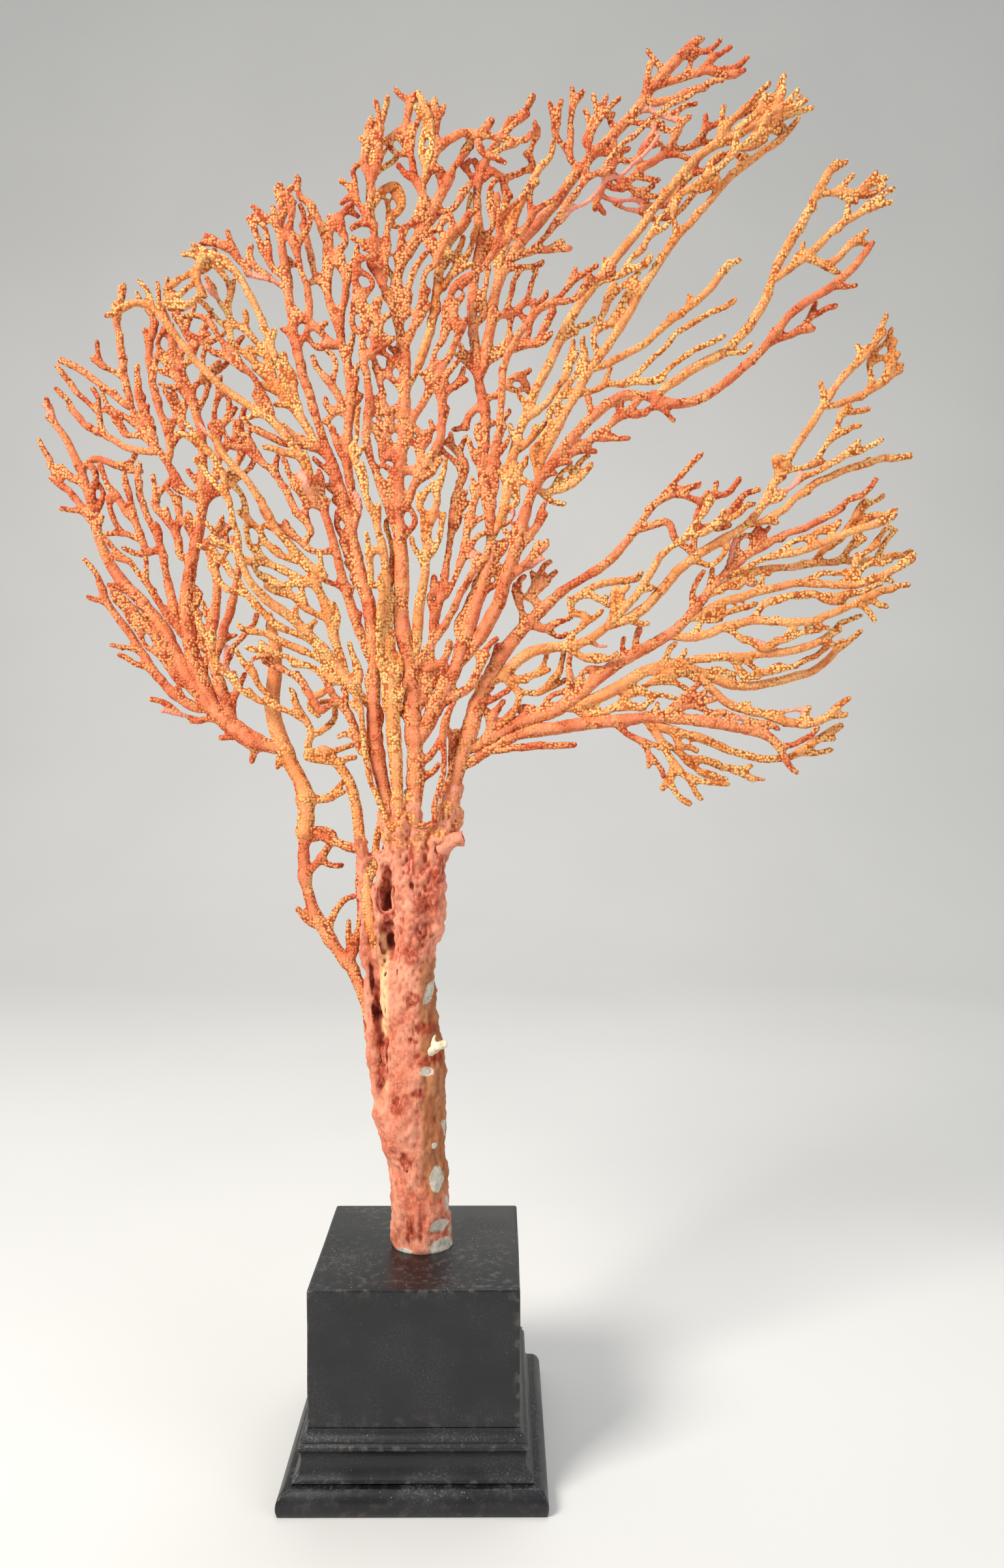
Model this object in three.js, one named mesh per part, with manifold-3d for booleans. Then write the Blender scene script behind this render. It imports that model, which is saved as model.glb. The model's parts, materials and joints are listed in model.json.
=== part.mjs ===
// A dried sea fan on its black moulded plinth.
// Millimetres, +Z up. The origin is the middle of the plinth's underside, and the fan faces -Y.
import * as THREE from "three";
import { mergeVertices } from "three/addons/utils/BufferGeometryUtils.js";
import Module from "manifold-3d";

const wasm = await Module();
wasm.setup();

// ---- Driving dimensions
const GAP = 0.3; // clearance kept between neighbouring pieces

const PLINTH_HEIGHT = 80;
const BLOCK_HALF_WIDTH = 40;
const BLOCK_EDGE = 0.5; // worn chamfer along the block's upper edges
const MOULDING_TOP = 27.8;
const FOOT_TOP = 9.1;

const TRUNK_SIDES = 16;
const TRUNK_FLUTES = 5; // stems that have grown together show as shallow flutes
const FLUTE_DEPTH = 0.05; // as a share of the trunk's radius

const LIMB_SIDES = 6;
const LIMB_STEP = 12.5; // length of one tube segment
const LEAST_STEPS = 4;
const TIP_ROUNDING = 0.7; // length of a limb's rounded end, in radii

// Limb routes are drawn on the plane Y = 0 as they look from this point in front of the fan.
// A limb that leans back or forward keeps that outline: it moves along the lines of sight.
const STATION = new THREE.Vector3(31.5, -458.6, 280);

// ---- Finishes
const blackPaint = { color: 0x17171a, roughness: 0.42, metalness: 0 };
const trunkCrust = { color: 0xd9806a, roughness: 0.85, metalness: 0 };
const goldenCrust = { color: 0xe09a55, roughness: 0.8, metalness: 0 };
const redCrust = { color: 0xcf6a4e, roughness: 0.8, metalness: 0 };
const bareAxis = { color: 0xd8cdb4, roughness: 0.7, metalness: 0 };

const model = new THREE.Group();

function addPiece(name, geometry, finish) {
  geometry.computeVertexNormals();
  const mesh = new THREE.Mesh(geometry, new THREE.MeshStandardMaterial(finish));
  mesh.name = name;
  model.add(mesh);
}

// ---- Plinth: each piece is a profile of [half width, height] points carried round a square.
function squareTurned(profile) {
  const closed = [[0, profile[0][1]], ...profile, [0, profile.at(-1)[1]]];
  const outline = closed.map(([half, height]) => new THREE.Vector2(half * Math.SQRT2, height));
  const geometry = new THREE.LatheGeometry(outline, 4, Math.PI / 4);
  geometry.rotateX(Math.PI / 2);
  return merged(geometry);
}

function merged(geometry) {
  geometry.deleteAttribute("normal");
  geometry.deleteAttribute("uv");
  return mergeVertices(geometry, 1e-4);
}

// Points of a quarter round or cove between two corners; sag is how far the middle leaves the chord.
function arc([x0, z0], [x1, z1], sag, steps = 6) {
  const length = Math.hypot(x1 - x0, z1 - z0);
  const points = [];
  for (let i = 1; i < steps; i += 1) {
    const t = i / steps;
    const bow = (sag * 4 * t * (1 - t)) / length;
    points.push([x0 + (x1 - x0) * t + (z1 - z0) * bow, z0 + (z1 - z0) * t - (x1 - x0) * bow]);
  }
  return points;
}

function addPlinth() {
  const w = BLOCK_HALF_WIDTH;
  addPiece(
    "plinth_foot",
    squareTurned([
      [w + 9.7, 0],
      [w + 10.2, 2],
      ...arc([w + 10.2, 2], [w + 8, 8.6], 0.9),
      [w + 8, 8.6],
      [w + 6.9, FOOT_TOP],
    ]),
    blackPaint,
  );
  const underside = FOOT_TOP + GAP;
  addPiece(
    "plinth_moulding",
    squareTurned([
      [w + 5.15, underside],
      [w + 5.15, 10],
      ...arc([w + 5.15, 10], [w + 2.2, 17], -0.8),
      [w + 2.2, 17],
      [w + 2.6, 20.1],
      [w + 3.3, 20.9],
      [w + 3.3, 21.8],
      [w + 2.2, 22.7],
      [w + 2.4, 24],
      ...arc([w + 2.4, 24], [w, MOULDING_TOP - GAP], -0.5, 4),
      [w, MOULDING_TOP - GAP],
    ]),
    blackPaint,
  );
  addPiece(
    "plinth_block",
    squareTurned([
      [w, MOULDING_TOP],
      [w, PLINTH_HEIGHT - BLOCK_EDGE],
      [w - BLOCK_EDGE, PLINTH_HEIGHT],
    ]),
    blackPaint,
  );
}

// ---- Fan: closed tubes of stacked rings
function ringSolid(rings) {
  const sides = rings[1].length;
  const positions = [];
  for (const ring of rings) for (const point of ring) positions.push(point.x, point.y, point.z);
  const index = [];
  const last = rings.length - 1;
  const firstOf = (k) => (k === 0 ? 0 : 1 + (k - 1) * sides);
  for (let s = 0; s < sides; s += 1) {
    const next = (s + 1) % sides;
    index.push(0, firstOf(1) + next, firstOf(1) + s);
    for (let k = 1; k < last - 1; k += 1) {
      const [a, b] = [firstOf(k) + s, firstOf(k) + next];
      const [c, d] = [firstOf(k + 1) + s, firstOf(k + 1) + next];
      index.push(a, b, c, b, d, c);
    }
    index.push(firstOf(last - 1) + s, firstOf(last - 1) + next, firstOf(last));
  }
  const geometry = new THREE.BufferGeometry();
  geometry.setAttribute("position", new THREE.Float32BufferAttribute(positions, 3));
  geometry.setIndex(index);
  return geometry;
}

function solidOf(geometry) {
  return new wasm.Manifold(
    new wasm.Mesh({
      numProp: 3,
      vertProperties: new Float32Array(geometry.attributes.position.array),
      triVerts: new Uint32Array(geometry.index.array),
    }),
  );
}

function geometryOf(solid) {
  const mesh = solid.getMesh();
  const geometry = new THREE.BufferGeometry();
  geometry.setAttribute("position", new THREE.BufferAttribute(mesh.vertProperties, 3));
  geometry.setIndex(new THREE.BufferAttribute(mesh.triVerts, 1));
  return geometry;
}

// The trunk's outline: height, left edge, right edge, half depth.
const TRUNK_SECTIONS = [
  [80, -10.8, 13.8, 10.4],
  [90, -11.6, 13, 10.6],
  [102, -12, 12.2, 10.5],
  [112, -12.7, 11, 10.5],
  [121, -16, 10, 10.8],
  [133, -18.8, 9, 11],
  [142, -17.8, 9.3, 10.6],
  [152, -17, 8.8, 10.4],
  [163, -15.6, 7.4, 10.2],
  [175, -16.8, 5.2, 9.8],
  [190, -17.6, 5.4, 9.6],
  [203, -18.6, 7.6, 9.6],
  [216, -17.8, 8, 9.4],
  [230, -17.6, 11, 9],
  [242, -16, 12, 8.4],
  [252, -14, 12.4, 7],
  [259, -9, 9, 4],
];

function trunkGeometry(swell) {
  const rings = TRUNK_SECTIONS.map(([height, left, right, depth], level) => {
    const z = level === 0 ? height + GAP - swell : height;
    const middle = (left + right) / 2;
    const across = (right - left) / 2;
    return Array.from({ length: TRUNK_SIDES }, (_, side) => {
      const angle = (side / TRUNK_SIDES) * 2 * Math.PI;
      const flute = 1 + FLUTE_DEPTH * Math.cos(TRUNK_FLUTES * angle + z / 25);
      return new THREE.Vector3(
        middle + (across + swell) * flute * Math.cos(angle),
        (depth + swell) * flute * Math.sin(angle),
        z,
      );
    });
  });
  const [foot, top] = [TRUNK_SECTIONS[0], TRUNK_SECTIONS.at(-1)];
  const footCentre = new THREE.Vector3((foot[1] + foot[2]) / 2, 0, rings[0][0].z);
  const topCentre = new THREE.Vector3((top[1] + top[2]) / 2, 0, top[0] + 1.5 + swell);
  return ringSolid([[footCentre], ...rings, [topCentre]]);
}

// Each limb: its name, the piece it grows from, its finish, its radius at the fork and at the tip,
// its depth at the tip (and at the trunk, where it grows from that), and its route as [X, Z] points.
const LIMBS = [
  // Left flank and the root of the left lobe
  ["left_side_stem", "trunk", redCrust, [3.0, 2.8], [9, -2],
    [[-14, 143], [-19, 160], [-21.5, 176], [-24, 189], [-31, 198], [-38, 206], [-43, 216], [-47, 230],
      [-48, 242], [-46, 251]]],
  ["left_flank_stem", "trunk", goldenCrust, [3.2, 2.4], [4, -3],
    [[-15, 196], [-20, 212], [-22, 226], [-23, 240], [-26, 254], [-26, 266], [-31, 275], [-38, 281]]],
  ["left_lobe_root", "left_side_stem", goldenCrust, [4.2, 2.4], [16],
    [[-46, 250], [-45, 262], [-49, 271], [-54, 280], [-58, 290], [-60, 300], [-59, 312], [-57, 322],
      [-60, 332]]],
  ["left_lobe_brace", "left_flank_stem", redCrust, [2.2, 2.2], [7.5],
    [[-23, 242], [-30, 243], [-36, 245], [-41.5, 248]]],
  // Left lobe, which stands behind the rest
  ["left_lobe_outer", "left_lobe_root", redCrust, [4.0, 1.8], [26],
    [[-56, 284], [-66, 284], [-75, 291], [-84, 298], [-92, 309], [-99, 322], [-106, 335], [-115, 345],
      [-123, 353], [-128, 363], [-131, 376], [-134, 389], [-138, 400], [-142, 409], [-148, 415]]],
  ["left_lobe_main", "left_lobe_outer", redCrust, [3.8, 2.0], [20],
    [[-83, 297], [-88, 310], [-93, 324], [-94, 338], [-93, 352], [-90, 364], [-87, 376], [-88, 388],
      [-86, 400], [-88, 412], [-91, 424], [-96, 436], [-99, 448]]],
  ["left_lobe_inner", "left_lobe_main", redCrust, [2.4, 1.6], [25],
    [[-89, 313], [-94, 326], [-99, 338], [-101, 350], [-103, 361], [-107, 371], [-111, 381],
      [-115, 389], [-113, 396]]],
  ["left_lobe_low", "left_lobe_outer", redCrust, [2.2, 1.5], [20],
    [[-85, 297], [-95, 301], [-104, 309], [-111, 319], [-117, 329], [-121, 337], [-129, 342],
      [-129, 350]]],
  ["left_lobe_near", "left_lobe_outer", redCrust, [2.8, 1.8], [15],
    [[-75, 291], [-80, 305], [-84, 320], [-84, 332], [-81, 344], [-82, 356], [-86, 365]]],
  ["left_lobe_twin", "left_lobe_near", redCrust, [2.2, 1.6], [11],
    [[-83, 318], [-79, 331], [-75, 342], [-72, 353], [-74, 366]]],
  ["left_lobe_high", "left_lobe_main", redCrust, [2.6, 1.8], [24],
    [[-88, 383], [-96, 385], [-99, 393], [-102, 401], [-109, 406], [-114, 414], [-117, 426],
      [-119, 438], [-120, 448], [-122, 459]]],
  ["left_lobe_spur", "left_lobe_high", redCrust, [2.0, 1.5], [20],
    [[-99, 399], [-101, 411], [-105, 421], [-108, 432], [-109, 444], [-105, 452]]],
  ["left_lobe_far", "left_lobe_high", redCrust, [1.9, 1.5], [30],
    [[-103, 402], [-111, 400], [-119, 404], [-126, 409], [-134, 411], [-140, 419]]],
  ["left_lobe_crest", "left_lobe_high", redCrust, [1.8, 1.4], [27],
    [[-115, 418], [-121, 424], [-128, 428], [-134, 434], [-142, 438]]],
  // Golden stems that cross in front of the left lobe
  ["front_low_stem", "crown_left_main", goldenCrust, [2.8, 1.6], [-12],
    [[-20, 301], [-28, 308], [-35, 318], [-42, 327], [-50, 334], [-58, 341], [-67, 346], [-72, 354],
      [-73, 366]]],
  ["front_rising_stem", "front_low_stem", goldenCrust, [2.4, 1.6], [-9],
    [[-30, 312], [-34, 325], [-38, 340], [-43, 353], [-50, 362], [-57, 369], [-62, 378], [-66, 388],
      [-72, 395], [-79, 397], [-82, 406]]],
  // Left side of the crown
  ["crown_left_main", "trunk", redCrust, [3.7, 2.0], [3, -3],
    [[-11, 246], [-14, 262], [-17, 278], [-19, 292], [-19, 306], [-18, 320], [-19, 334], [-22, 348],
      [-26, 360], [-28, 373], [-31, 386], [-35, 397], [-39, 408], [-43, 422], [-48, 436], [-50, 452],
      [-53, 468], [-54, 481], [-58, 497]]],
  ["crown_left_inner", "crown_left_main", redCrust, [2.4, 1.8], [-4],
    [[-19, 316], [-24, 330], [-29, 343], [-32, 354], [-35, 368], [-39, 380], [-43, 389]]],
  ["front_long_stem", "crown_left_inner", goldenCrust, [2.3, 1.5], [-8],
    [[-42, 386], [-46, 397], [-52, 407], [-60, 415], [-69, 421], [-78, 426], [-86, 434], [-92, 441],
      [-98, 447], [-103, 456], [-108, 463], [-115, 464], [-120, 459]]],
  ["crown_left_arch", "crown_left_main", goldenCrust, [2.2, 1.5], [-2],
    [[-36, 400], [-44, 409], [-50, 419], [-55, 431], [-59, 443], [-62, 454], [-67, 464], [-73, 471],
      [-76, 480], [-83, 483], [-89, 481], [-91, 473], [-86, 464]]],
  ["crown_left_upright", "crown_left_main", redCrust, [2.5, 2.0], [7],
    [[-27, 370], [-27, 384], [-29, 398], [-29, 411], [-27, 424], [-29, 437], [-32, 450], [-36, 461],
      [-38, 472], [-37, 483], [-36, 494]]],
  ["crown_front_stem", "trunk", goldenCrust, [3.3, 1.5], [-3, -6],
    [[-7, 246], [-9, 260], [-10, 275], [-10, 290], [-12, 304], [-11, 318], [-14, 332], [-15, 345],
      [-13, 357], [-16, 369], [-20, 380], [-24, 392], [-27, 403]]],
  // Middle of the crown
  ["crown_main", "trunk", redCrust, [3.8, 2.6], [5, -4],
    [[-2, 246], [-2, 264], [-2, 282], [-3, 300], [-4, 315], [-7, 328], [-8, 341], [-7, 354], [-8, 368],
      [-9, 381], [-8, 394], [-6, 408], [-6, 422], [-5, 437], [-8, 452], [-10, 465], [-8, 476],
      [-2, 484], [3, 492], [7, 501], [13, 512]]],
  ["crown_short_stem", "crown_main", goldenCrust, [2.4, 1.7], [-2],
    [[-3, 316], [-1, 330], [0, 344], [3, 356], [3, 368], [6, 378], [9, 392]]],
  ["crown_spire", "crown_main", goldenCrust, [2.3, 1.6], [9],
    [[-9, 469], [-15, 478], [-18, 488], [-20, 499], [-20, 509], [-18, 520], [-16, 531]]],
  ["crown_top_loop", "crown_main", goldenCrust, [1.8, 1.4], [2],
    [[-8, 480], [-7, 490], [0, 495], [3, 502], [1, 509], [5, 518], [7, 528], [4, 536], [0, 543]]],
  ["crown_cross_stem", "crown_main", goldenCrust, [2.4, 2.0], [9],
    [[-5, 428], [1, 439], [5, 451], [7, 464], [8, 475], [12, 486], [19, 493]]],
  // Right side of the crown
  ["crown_right_main", "crown_main", redCrust, [3.4, 2.0], [10],
    [[-2, 284], [5, 297], [11, 307], [16, 319], [20, 332], [24, 344], [28, 356], [29, 367], [28, 379],
      [25, 390], [26, 403], [28, 414], [24, 423], [24, 435], [22, 448], [20, 459], [23, 473], [25, 486],
      [23, 500], [24, 513], [31, 525], [37, 533]]],
  ["crown_right_leader", "crown_right_main", redCrust, [2.6, 2.7], [14],
    [[24, 431], [28, 447], [30, 459], [31, 470], [39, 483], [48, 493], [56, 502], [62, 512], [71, 521],
      [80, 530], [87, 537], [92, 545], [98, 552], [104, 558], [110, 564]]],
  ["crown_right_twin", "crown_right_leader", goldenCrust, [2.2, 1.9], [6],
    [[30, 461], [32, 473], [35, 485], [39, 497], [44, 507], [49, 516]]],
  ["crown_right_outer", "crown_right_main", goldenCrust, [2.5, 2.0], [4],
    [[29, 366], [34, 379], [36, 393], [39, 406], [44, 420], [50, 433], [56, 445], [60, 455], [67, 464],
      [74, 472], [79, 480], [87, 488], [93, 496], [98, 504], [104, 511], [111, 519], [120, 525],
      [132, 530], [144, 535], [156, 538]]],
  ["right_sweep", "crown_right_main", redCrust, [3.1, 1.9], [-4],
    [[17, 318], [26, 330], [33, 342], [36, 354], [40, 368], [43, 380], [47, 390], [56, 401], [64, 410],
      [74, 420], [85, 427], [96, 423], [105, 419], [115, 424], [125, 431], [136, 440], [142, 449],
      [149, 458], [160, 464], [170, 471], [177, 478], [181, 484]]],
  ["right_long_stem", "right_sweep", goldenCrust, [2.4, 1.6], [2],
    [[46, 387], [51, 402], [56, 413], [62, 423], [68, 433], [75, 443], [82, 453], [87, 463], [94, 474],
      [101, 485], [109, 493], [118, 503], [126, 514], [137, 520], [145, 526], [151, 533]]],
  ["right_high_twig", "right_long_stem", goldenCrust, [2.0, 1.4], [-4],
    [[70, 435], [81, 440], [90, 444], [97, 450], [103, 457], [111, 461], [118, 468], [124, 477]]],
  ["right_rising_stem", "right_sweep", goldenCrust, [2.4, 2.4], [4],
    [[95, 423], [101, 430], [108, 434], [116, 438], [125, 443], [132, 451], [139, 461], [141, 471],
      [146, 480], [151, 490], [157, 498], [160, 507], [166, 516]]],
  ["right_rising_twig", "right_rising_stem", goldenCrust, [2.0, 1.7], [-2],
    [[141, 469], [150, 476], [158, 481], [164, 487], [169, 494], [178, 498], [188, 501]]],
  // Right stem and the right lobe
  ["right_stem", "trunk", redCrust, [4.2, 1.3], [6, 0],
    [[5, 246], [12, 262], [16, 276], [20, 290], [24, 303], [30, 316], [37, 326], [44, 333], [51, 342],
      [59, 347], [69, 353], [78, 359], [86, 368], [91, 378], [99, 385], [106, 394], [113, 401]]],
  ["right_low_stem", "right_stem", goldenCrust, [2.4, 1.5], [-6],
    [[26, 307], [34, 313], [42, 321], [51, 325], [61, 323], [71, 328], [79, 334], [86, 343], [92, 351],
      [97, 360]]],
  ["right_lobe_edge", "right_low_stem", goldenCrust, [2.3, 1.8], [4],
    [[77, 332], [88, 336], [96, 344], [103, 354], [111, 360], [121, 366], [131, 372], [140, 381],
      [143, 391], [150, 401], [156, 411], [163, 421], [170, 432], [179, 440], [186, 449]]],
  ["right_lobe_fork", "right_lobe_edge", goldenCrust, [2.0, 1.4], [0],
    [[132, 373], [142, 374], [149, 381], [157, 389], [166, 393], [176, 396], [185, 400], [191, 397],
      [197, 400]]],
  ["right_lobe_spray", "right_lobe_edge", goldenCrust, [1.8, 1.5], [8],
    [[162, 420], [170, 421], [178, 424], [186, 430], [193, 434]]],
  ["right_arm_upper", "right_stem", redCrust, [3.0, 1.7], [2],
    [[17, 281], [29, 287], [40, 293], [51, 297], [60, 300], [69, 309], [78, 316], [88, 321], [98, 327],
      [107, 332], [113, 341], [119, 349], [127, 357], [137, 364], [148, 369], [159, 373], [170, 379]]],
  ["right_fan_top", "right_arm_upper", goldenCrust, [1.8, 1.6], [-6],
    [[120, 350], [130, 355], [140, 360], [152, 361], [162, 365], [172, 370], [188, 374]]],
  ["right_fan_high", "right_arm_upper", goldenCrust, [1.9, 1.6], [8],
    [[115, 343], [124, 350], [134, 355], [145, 355], [155, 357], [168, 358], [182, 358], [192, 361]]],
  ["right_fan_mid", "right_arm_upper", goldenCrust, [1.9, 1.6], [-3],
    [[109, 334], [118, 341], [128, 343], [138, 346], [150, 350], [162, 349], [172, 347], [182, 350],
      [190, 354], [198, 358]]],
  ["right_fan_low", "right_arm_upper", goldenCrust, [1.9, 1.5], [-9],
    [[100, 328], [109, 326], [118, 329], [127, 334], [136, 335], [145, 333], [155, 335], [164, 332],
      [170, 339], [180, 344], [191, 347]]],
  ["right_arm_middle", "right_arm_upper", goldenCrust, [2.5, 1.5], [6],
    [[59, 299], [68, 301], [77, 306], [87, 311], [94, 316], [103, 318], [112, 315], [119, 310],
      [128, 307], [137, 308], [148, 311], [159, 313], [167, 318], [170, 325]]],
  ["right_middle_twig", "right_arm_middle", goldenCrust, [1.9, 1.5], [-2],
    [[104, 317], [112, 320], [121, 319], [130, 320], [140, 321], [151, 321], [160, 324], [169, 330]]],
  ["right_drooping_twig", "right_arm_middle", goldenCrust, [1.8, 1.6], [-4],
    [[113, 314], [116, 307], [123, 301], [132, 297], [141, 297], [149, 292], [159, 291], [165, 295],
      [171, 301]]],
  ["right_arm_lower", "right_stem", redCrust, [3.0, 1.7], [-4],
    [[15, 273], [24, 280], [34, 286], [45, 290], [56, 291], [66, 292], [76, 294], [86, 294], [97, 296],
      [108, 294], [119, 293], [129, 290], [140, 291], [145, 285], [148, 279]]],
  ["right_arm_stub", "right_arm_lower", redCrust, [2.2, 1.7], [-9],
    [[28, 282], [38, 283], [48, 284], [62, 284]]],
  ["right_low_sprig", "right_arm_lower", goldenCrust, [2.0, 1.6], [2],
    [[90, 294], [98, 291], [106, 289], [114, 287], [122, 283], [129, 280], [138, 278], [148, 277],
      [155, 283], [163, 288], [170, 291]]],
  ["right_hanging_twig", "right_arm_lower", goldenCrust, [1.8, 1.4], [-9],
    [[92, 294], [97, 288], [101, 281], [102, 275], [107, 270], [114, 269], [124, 268]]],
];

// A closed tapered tube along a curve, with a flat foot and a rounded tip.
function tubeGeometry(curve, [footRadius, tipRadius], swell) {
  const steps = Math.max(LEAST_STEPS, Math.round(curve.getLength() / LIMB_STEP));
  const frames = curve.computeFrenetFrames(steps, false);
  const rings = [];
  for (let i = 0; i <= steps; i += 1) {
    const centre = curve.getPointAt(i / steps);
    const radius = swell + THREE.MathUtils.lerp(footRadius, tipRadius, i / steps);
    rings.push(
      Array.from({ length: LIMB_SIDES }, (_, side) => {
        const angle = (side / LIMB_SIDES) * 2 * Math.PI;
        return centre
          .clone()
          .addScaledVector(frames.normals[i], radius * Math.cos(angle))
          .addScaledVector(frames.binormals[i], radius * Math.sin(angle));
      }),
    );
  }
  const tip = curve.getPointAt(1).addScaledVector(frames.tangents[steps], TIP_ROUNDING * (tipRadius + swell));
  return ringSolid([[curve.getPointAt(0)], ...rings, [tip]]);
}

// The drawn point pushed back by a depth along its line of sight.
function atDepth([x, z], depth) {
  const drawn = new THREE.Vector3(x, 0, z);
  return drawn.sub(STATION).multiplyScalar(1 - depth / STATION.y).add(STATION);
}

// How deep a curve lies where it passes nearest to a drawn point.
function depthBeside(curve, [x, z]) {
  const samples = curve.getSpacedPoints(60);
  const seen = samples.map((point) => {
    const share = 1 - point.y / STATION.y;
    const drawn = point.clone().sub(STATION).divideScalar(share).add(STATION);
    return { depth: point.y, distance: Math.hypot(drawn.x - x, drawn.z - z) };
  });
  return seen.reduce((best, here) => (here.distance < best.distance ? here : best)).depth;
}

function limbCurve(route, startDepth, endDepth) {
  const points = route.map((point, i) => {
    const share = THREE.MathUtils.smoothstep(i / (route.length - 1), 0, 1);
    return atDepth(point, THREE.MathUtils.lerp(startDepth, endDepth, share));
  });
  return new THREE.CatmullRomCurve3(points, false, "centripetal");
}

// The largest body left of a limb once its neighbours, swollen by the gap, are taken away.
function cutClear(limb, neighbours) {
  const parts = neighbours.reduce((rest, other) => rest.subtract(other), limb).decompose();
  return parts.reduce((best, part) => (part.volume() > best.volume() ? part : best));
}

function stub(from, to, radii) {
  const curve = new THREE.LineCurve3(new THREE.Vector3(...from), new THREE.Vector3(...to));
  return { plain: tubeGeometry(curve, radii, 0), swollen: tubeGeometry(curve, radii, GAP) };
}

function addFan() {
  addPiece("trunk", trunkGeometry(0), trunkCrust);
  const swollen = [solidOf(trunkGeometry(GAP))];
  const stubs = {
    bare_stub: [stub([2, -5, 164], [10, -9, 162.5], [2.6, 2.2]), bareAxis],
    broken_stub: [stub([6, -3, 243], [17.5, -4, 248], [3.2, 3.0]), trunkCrust],
  };
  for (const [name, [shapes, finish]] of Object.entries(stubs)) {
    addPiece(name, geometryOf(cutClear(solidOf(shapes.plain), swollen)), finish);
    swollen.push(solidOf(shapes.swollen));
  }
  const curves = {};
  const waiting = [...LIMBS];
  while (waiting.length > 0) {
    const ready = waiting.findIndex(([, parent]) => parent === "trunk" || parent in curves);
    const [[name, parent, finish, radii, [endDepth, trunkDepth], route]] = waiting.splice(ready, 1);
    const startDepth = trunkDepth ?? depthBeside(curves[parent], route[0]);
    curves[name] = limbCurve(route, startDepth, endDepth);
    const limb = solidOf(tubeGeometry(curves[name], radii, 0));
    addPiece(name, geometryOf(cutClear(limb, swollen)), finish);
    swollen.push(solidOf(tubeGeometry(curves[name], radii, GAP)));
  }
}

addPlinth();
addFan();

export default model;
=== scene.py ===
"""A dried sea fan on its black moulded plinth: the looks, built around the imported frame.

Shapes are worked out in millimetres and handed to Blender in metres. The fan faces -Y and +Z is up.
"""

import heapq
import json
import logging
import math
from dataclasses import dataclass, field
from enum import Enum

import bpy
import numpy as np
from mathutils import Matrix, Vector
from mathutils.bvhtree import BVHTree
from mathutils.kdtree import KDTree


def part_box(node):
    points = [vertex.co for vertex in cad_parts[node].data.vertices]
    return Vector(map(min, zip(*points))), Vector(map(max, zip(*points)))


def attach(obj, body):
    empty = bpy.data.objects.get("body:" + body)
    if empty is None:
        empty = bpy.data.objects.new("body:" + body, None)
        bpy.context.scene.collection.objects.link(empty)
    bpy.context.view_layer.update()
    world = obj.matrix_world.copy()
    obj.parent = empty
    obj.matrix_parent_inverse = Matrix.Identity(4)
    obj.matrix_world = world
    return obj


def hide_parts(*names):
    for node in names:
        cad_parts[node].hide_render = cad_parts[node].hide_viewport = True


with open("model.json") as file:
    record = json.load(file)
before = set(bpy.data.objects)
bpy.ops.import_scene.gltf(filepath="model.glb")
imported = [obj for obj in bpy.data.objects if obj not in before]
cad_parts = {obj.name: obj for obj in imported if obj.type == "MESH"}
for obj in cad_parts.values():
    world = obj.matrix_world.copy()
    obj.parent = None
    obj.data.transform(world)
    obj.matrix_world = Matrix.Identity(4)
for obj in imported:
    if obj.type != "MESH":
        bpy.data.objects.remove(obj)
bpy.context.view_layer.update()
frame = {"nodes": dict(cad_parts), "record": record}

LOG = logging.getLogger("sea_fan")
MM = 0.001
SEED = 20


# ---------------------------------------------------------------- small helpers


def unit(vector: np.ndarray) -> np.ndarray:
    """The vector at length one."""
    return vector / max(float(np.linalg.norm(vector)), 1e-9)


def turned(vector: np.ndarray, angle: float) -> np.ndarray:
    """A flat vector turned by an angle in radians."""
    c, s = math.cos(angle), math.sin(angle)
    return np.array([c * vector[0] - s * vector[1], s * vector[0] + c * vector[1]])


def smooth_step(value: np.ndarray, low: float, high: float) -> np.ndarray:
    """0 below low, 1 above high, and an S curve between."""
    share = np.clip((value - low) / (high - low), 0.0, 1.0)
    return share * share * (3 - 2 * share)


def run_lengths(points: np.ndarray) -> np.ndarray:
    """How far along a line each of its points is."""
    return np.concatenate([[0.0], np.cumsum(np.linalg.norm(np.diff(points, axis=0), axis=1))])


def resampled(points: np.ndarray, values: np.ndarray, spacing: float) -> tuple[np.ndarray, np.ndarray]:
    """A line and a value along it, at even spacing and slightly eased at the corners.

    Args:
        points: the line's points, (N, 3).
        values: one number for each point.
        spacing: the wanted distance between points.

    Returns:
        The new points and the new values.
    """
    runs = run_lengths(points)
    count = max(3, int(round(runs[-1] / spacing)) + 1)
    even = np.linspace(0.0, runs[-1], count)
    line = np.stack([np.interp(even, runs, points[:, k]) for k in range(points.shape[1])], axis=1)
    for _ in range(3):
        line[1:-1] = 0.5 * line[1:-1] + 0.25 * (line[:-2] + line[2:])
    return line, np.interp(even, runs, values)


def curved(points: np.ndarray, spacing: float) -> np.ndarray:
    """A smooth curve through a few points, as closely spaced points.

    Args:
        points: the points that the curve passes through.
        spacing: the distance between points on the curve.

    Returns:
        The points of the curve.
    """
    padded = np.vstack([2 * points[0] - points[1], points, 2 * points[-1] - points[-2]])
    out = []
    for a, b, c, d in zip(padded, padded[1:], padded[2:], padded[3:]):
        steps = max(2, int(np.linalg.norm(c - b) / spacing))
        t = np.arange(steps)[:, None] / steps
        out.append(
            0.5
            * (2 * b + (c - a) * t + (2 * a - 5 * b + 4 * c - d) * t**2 + (3 * b - 3 * c + d - a) * t**3)
        )
    out.append(points[-1:])
    return np.vstack(out)


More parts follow.
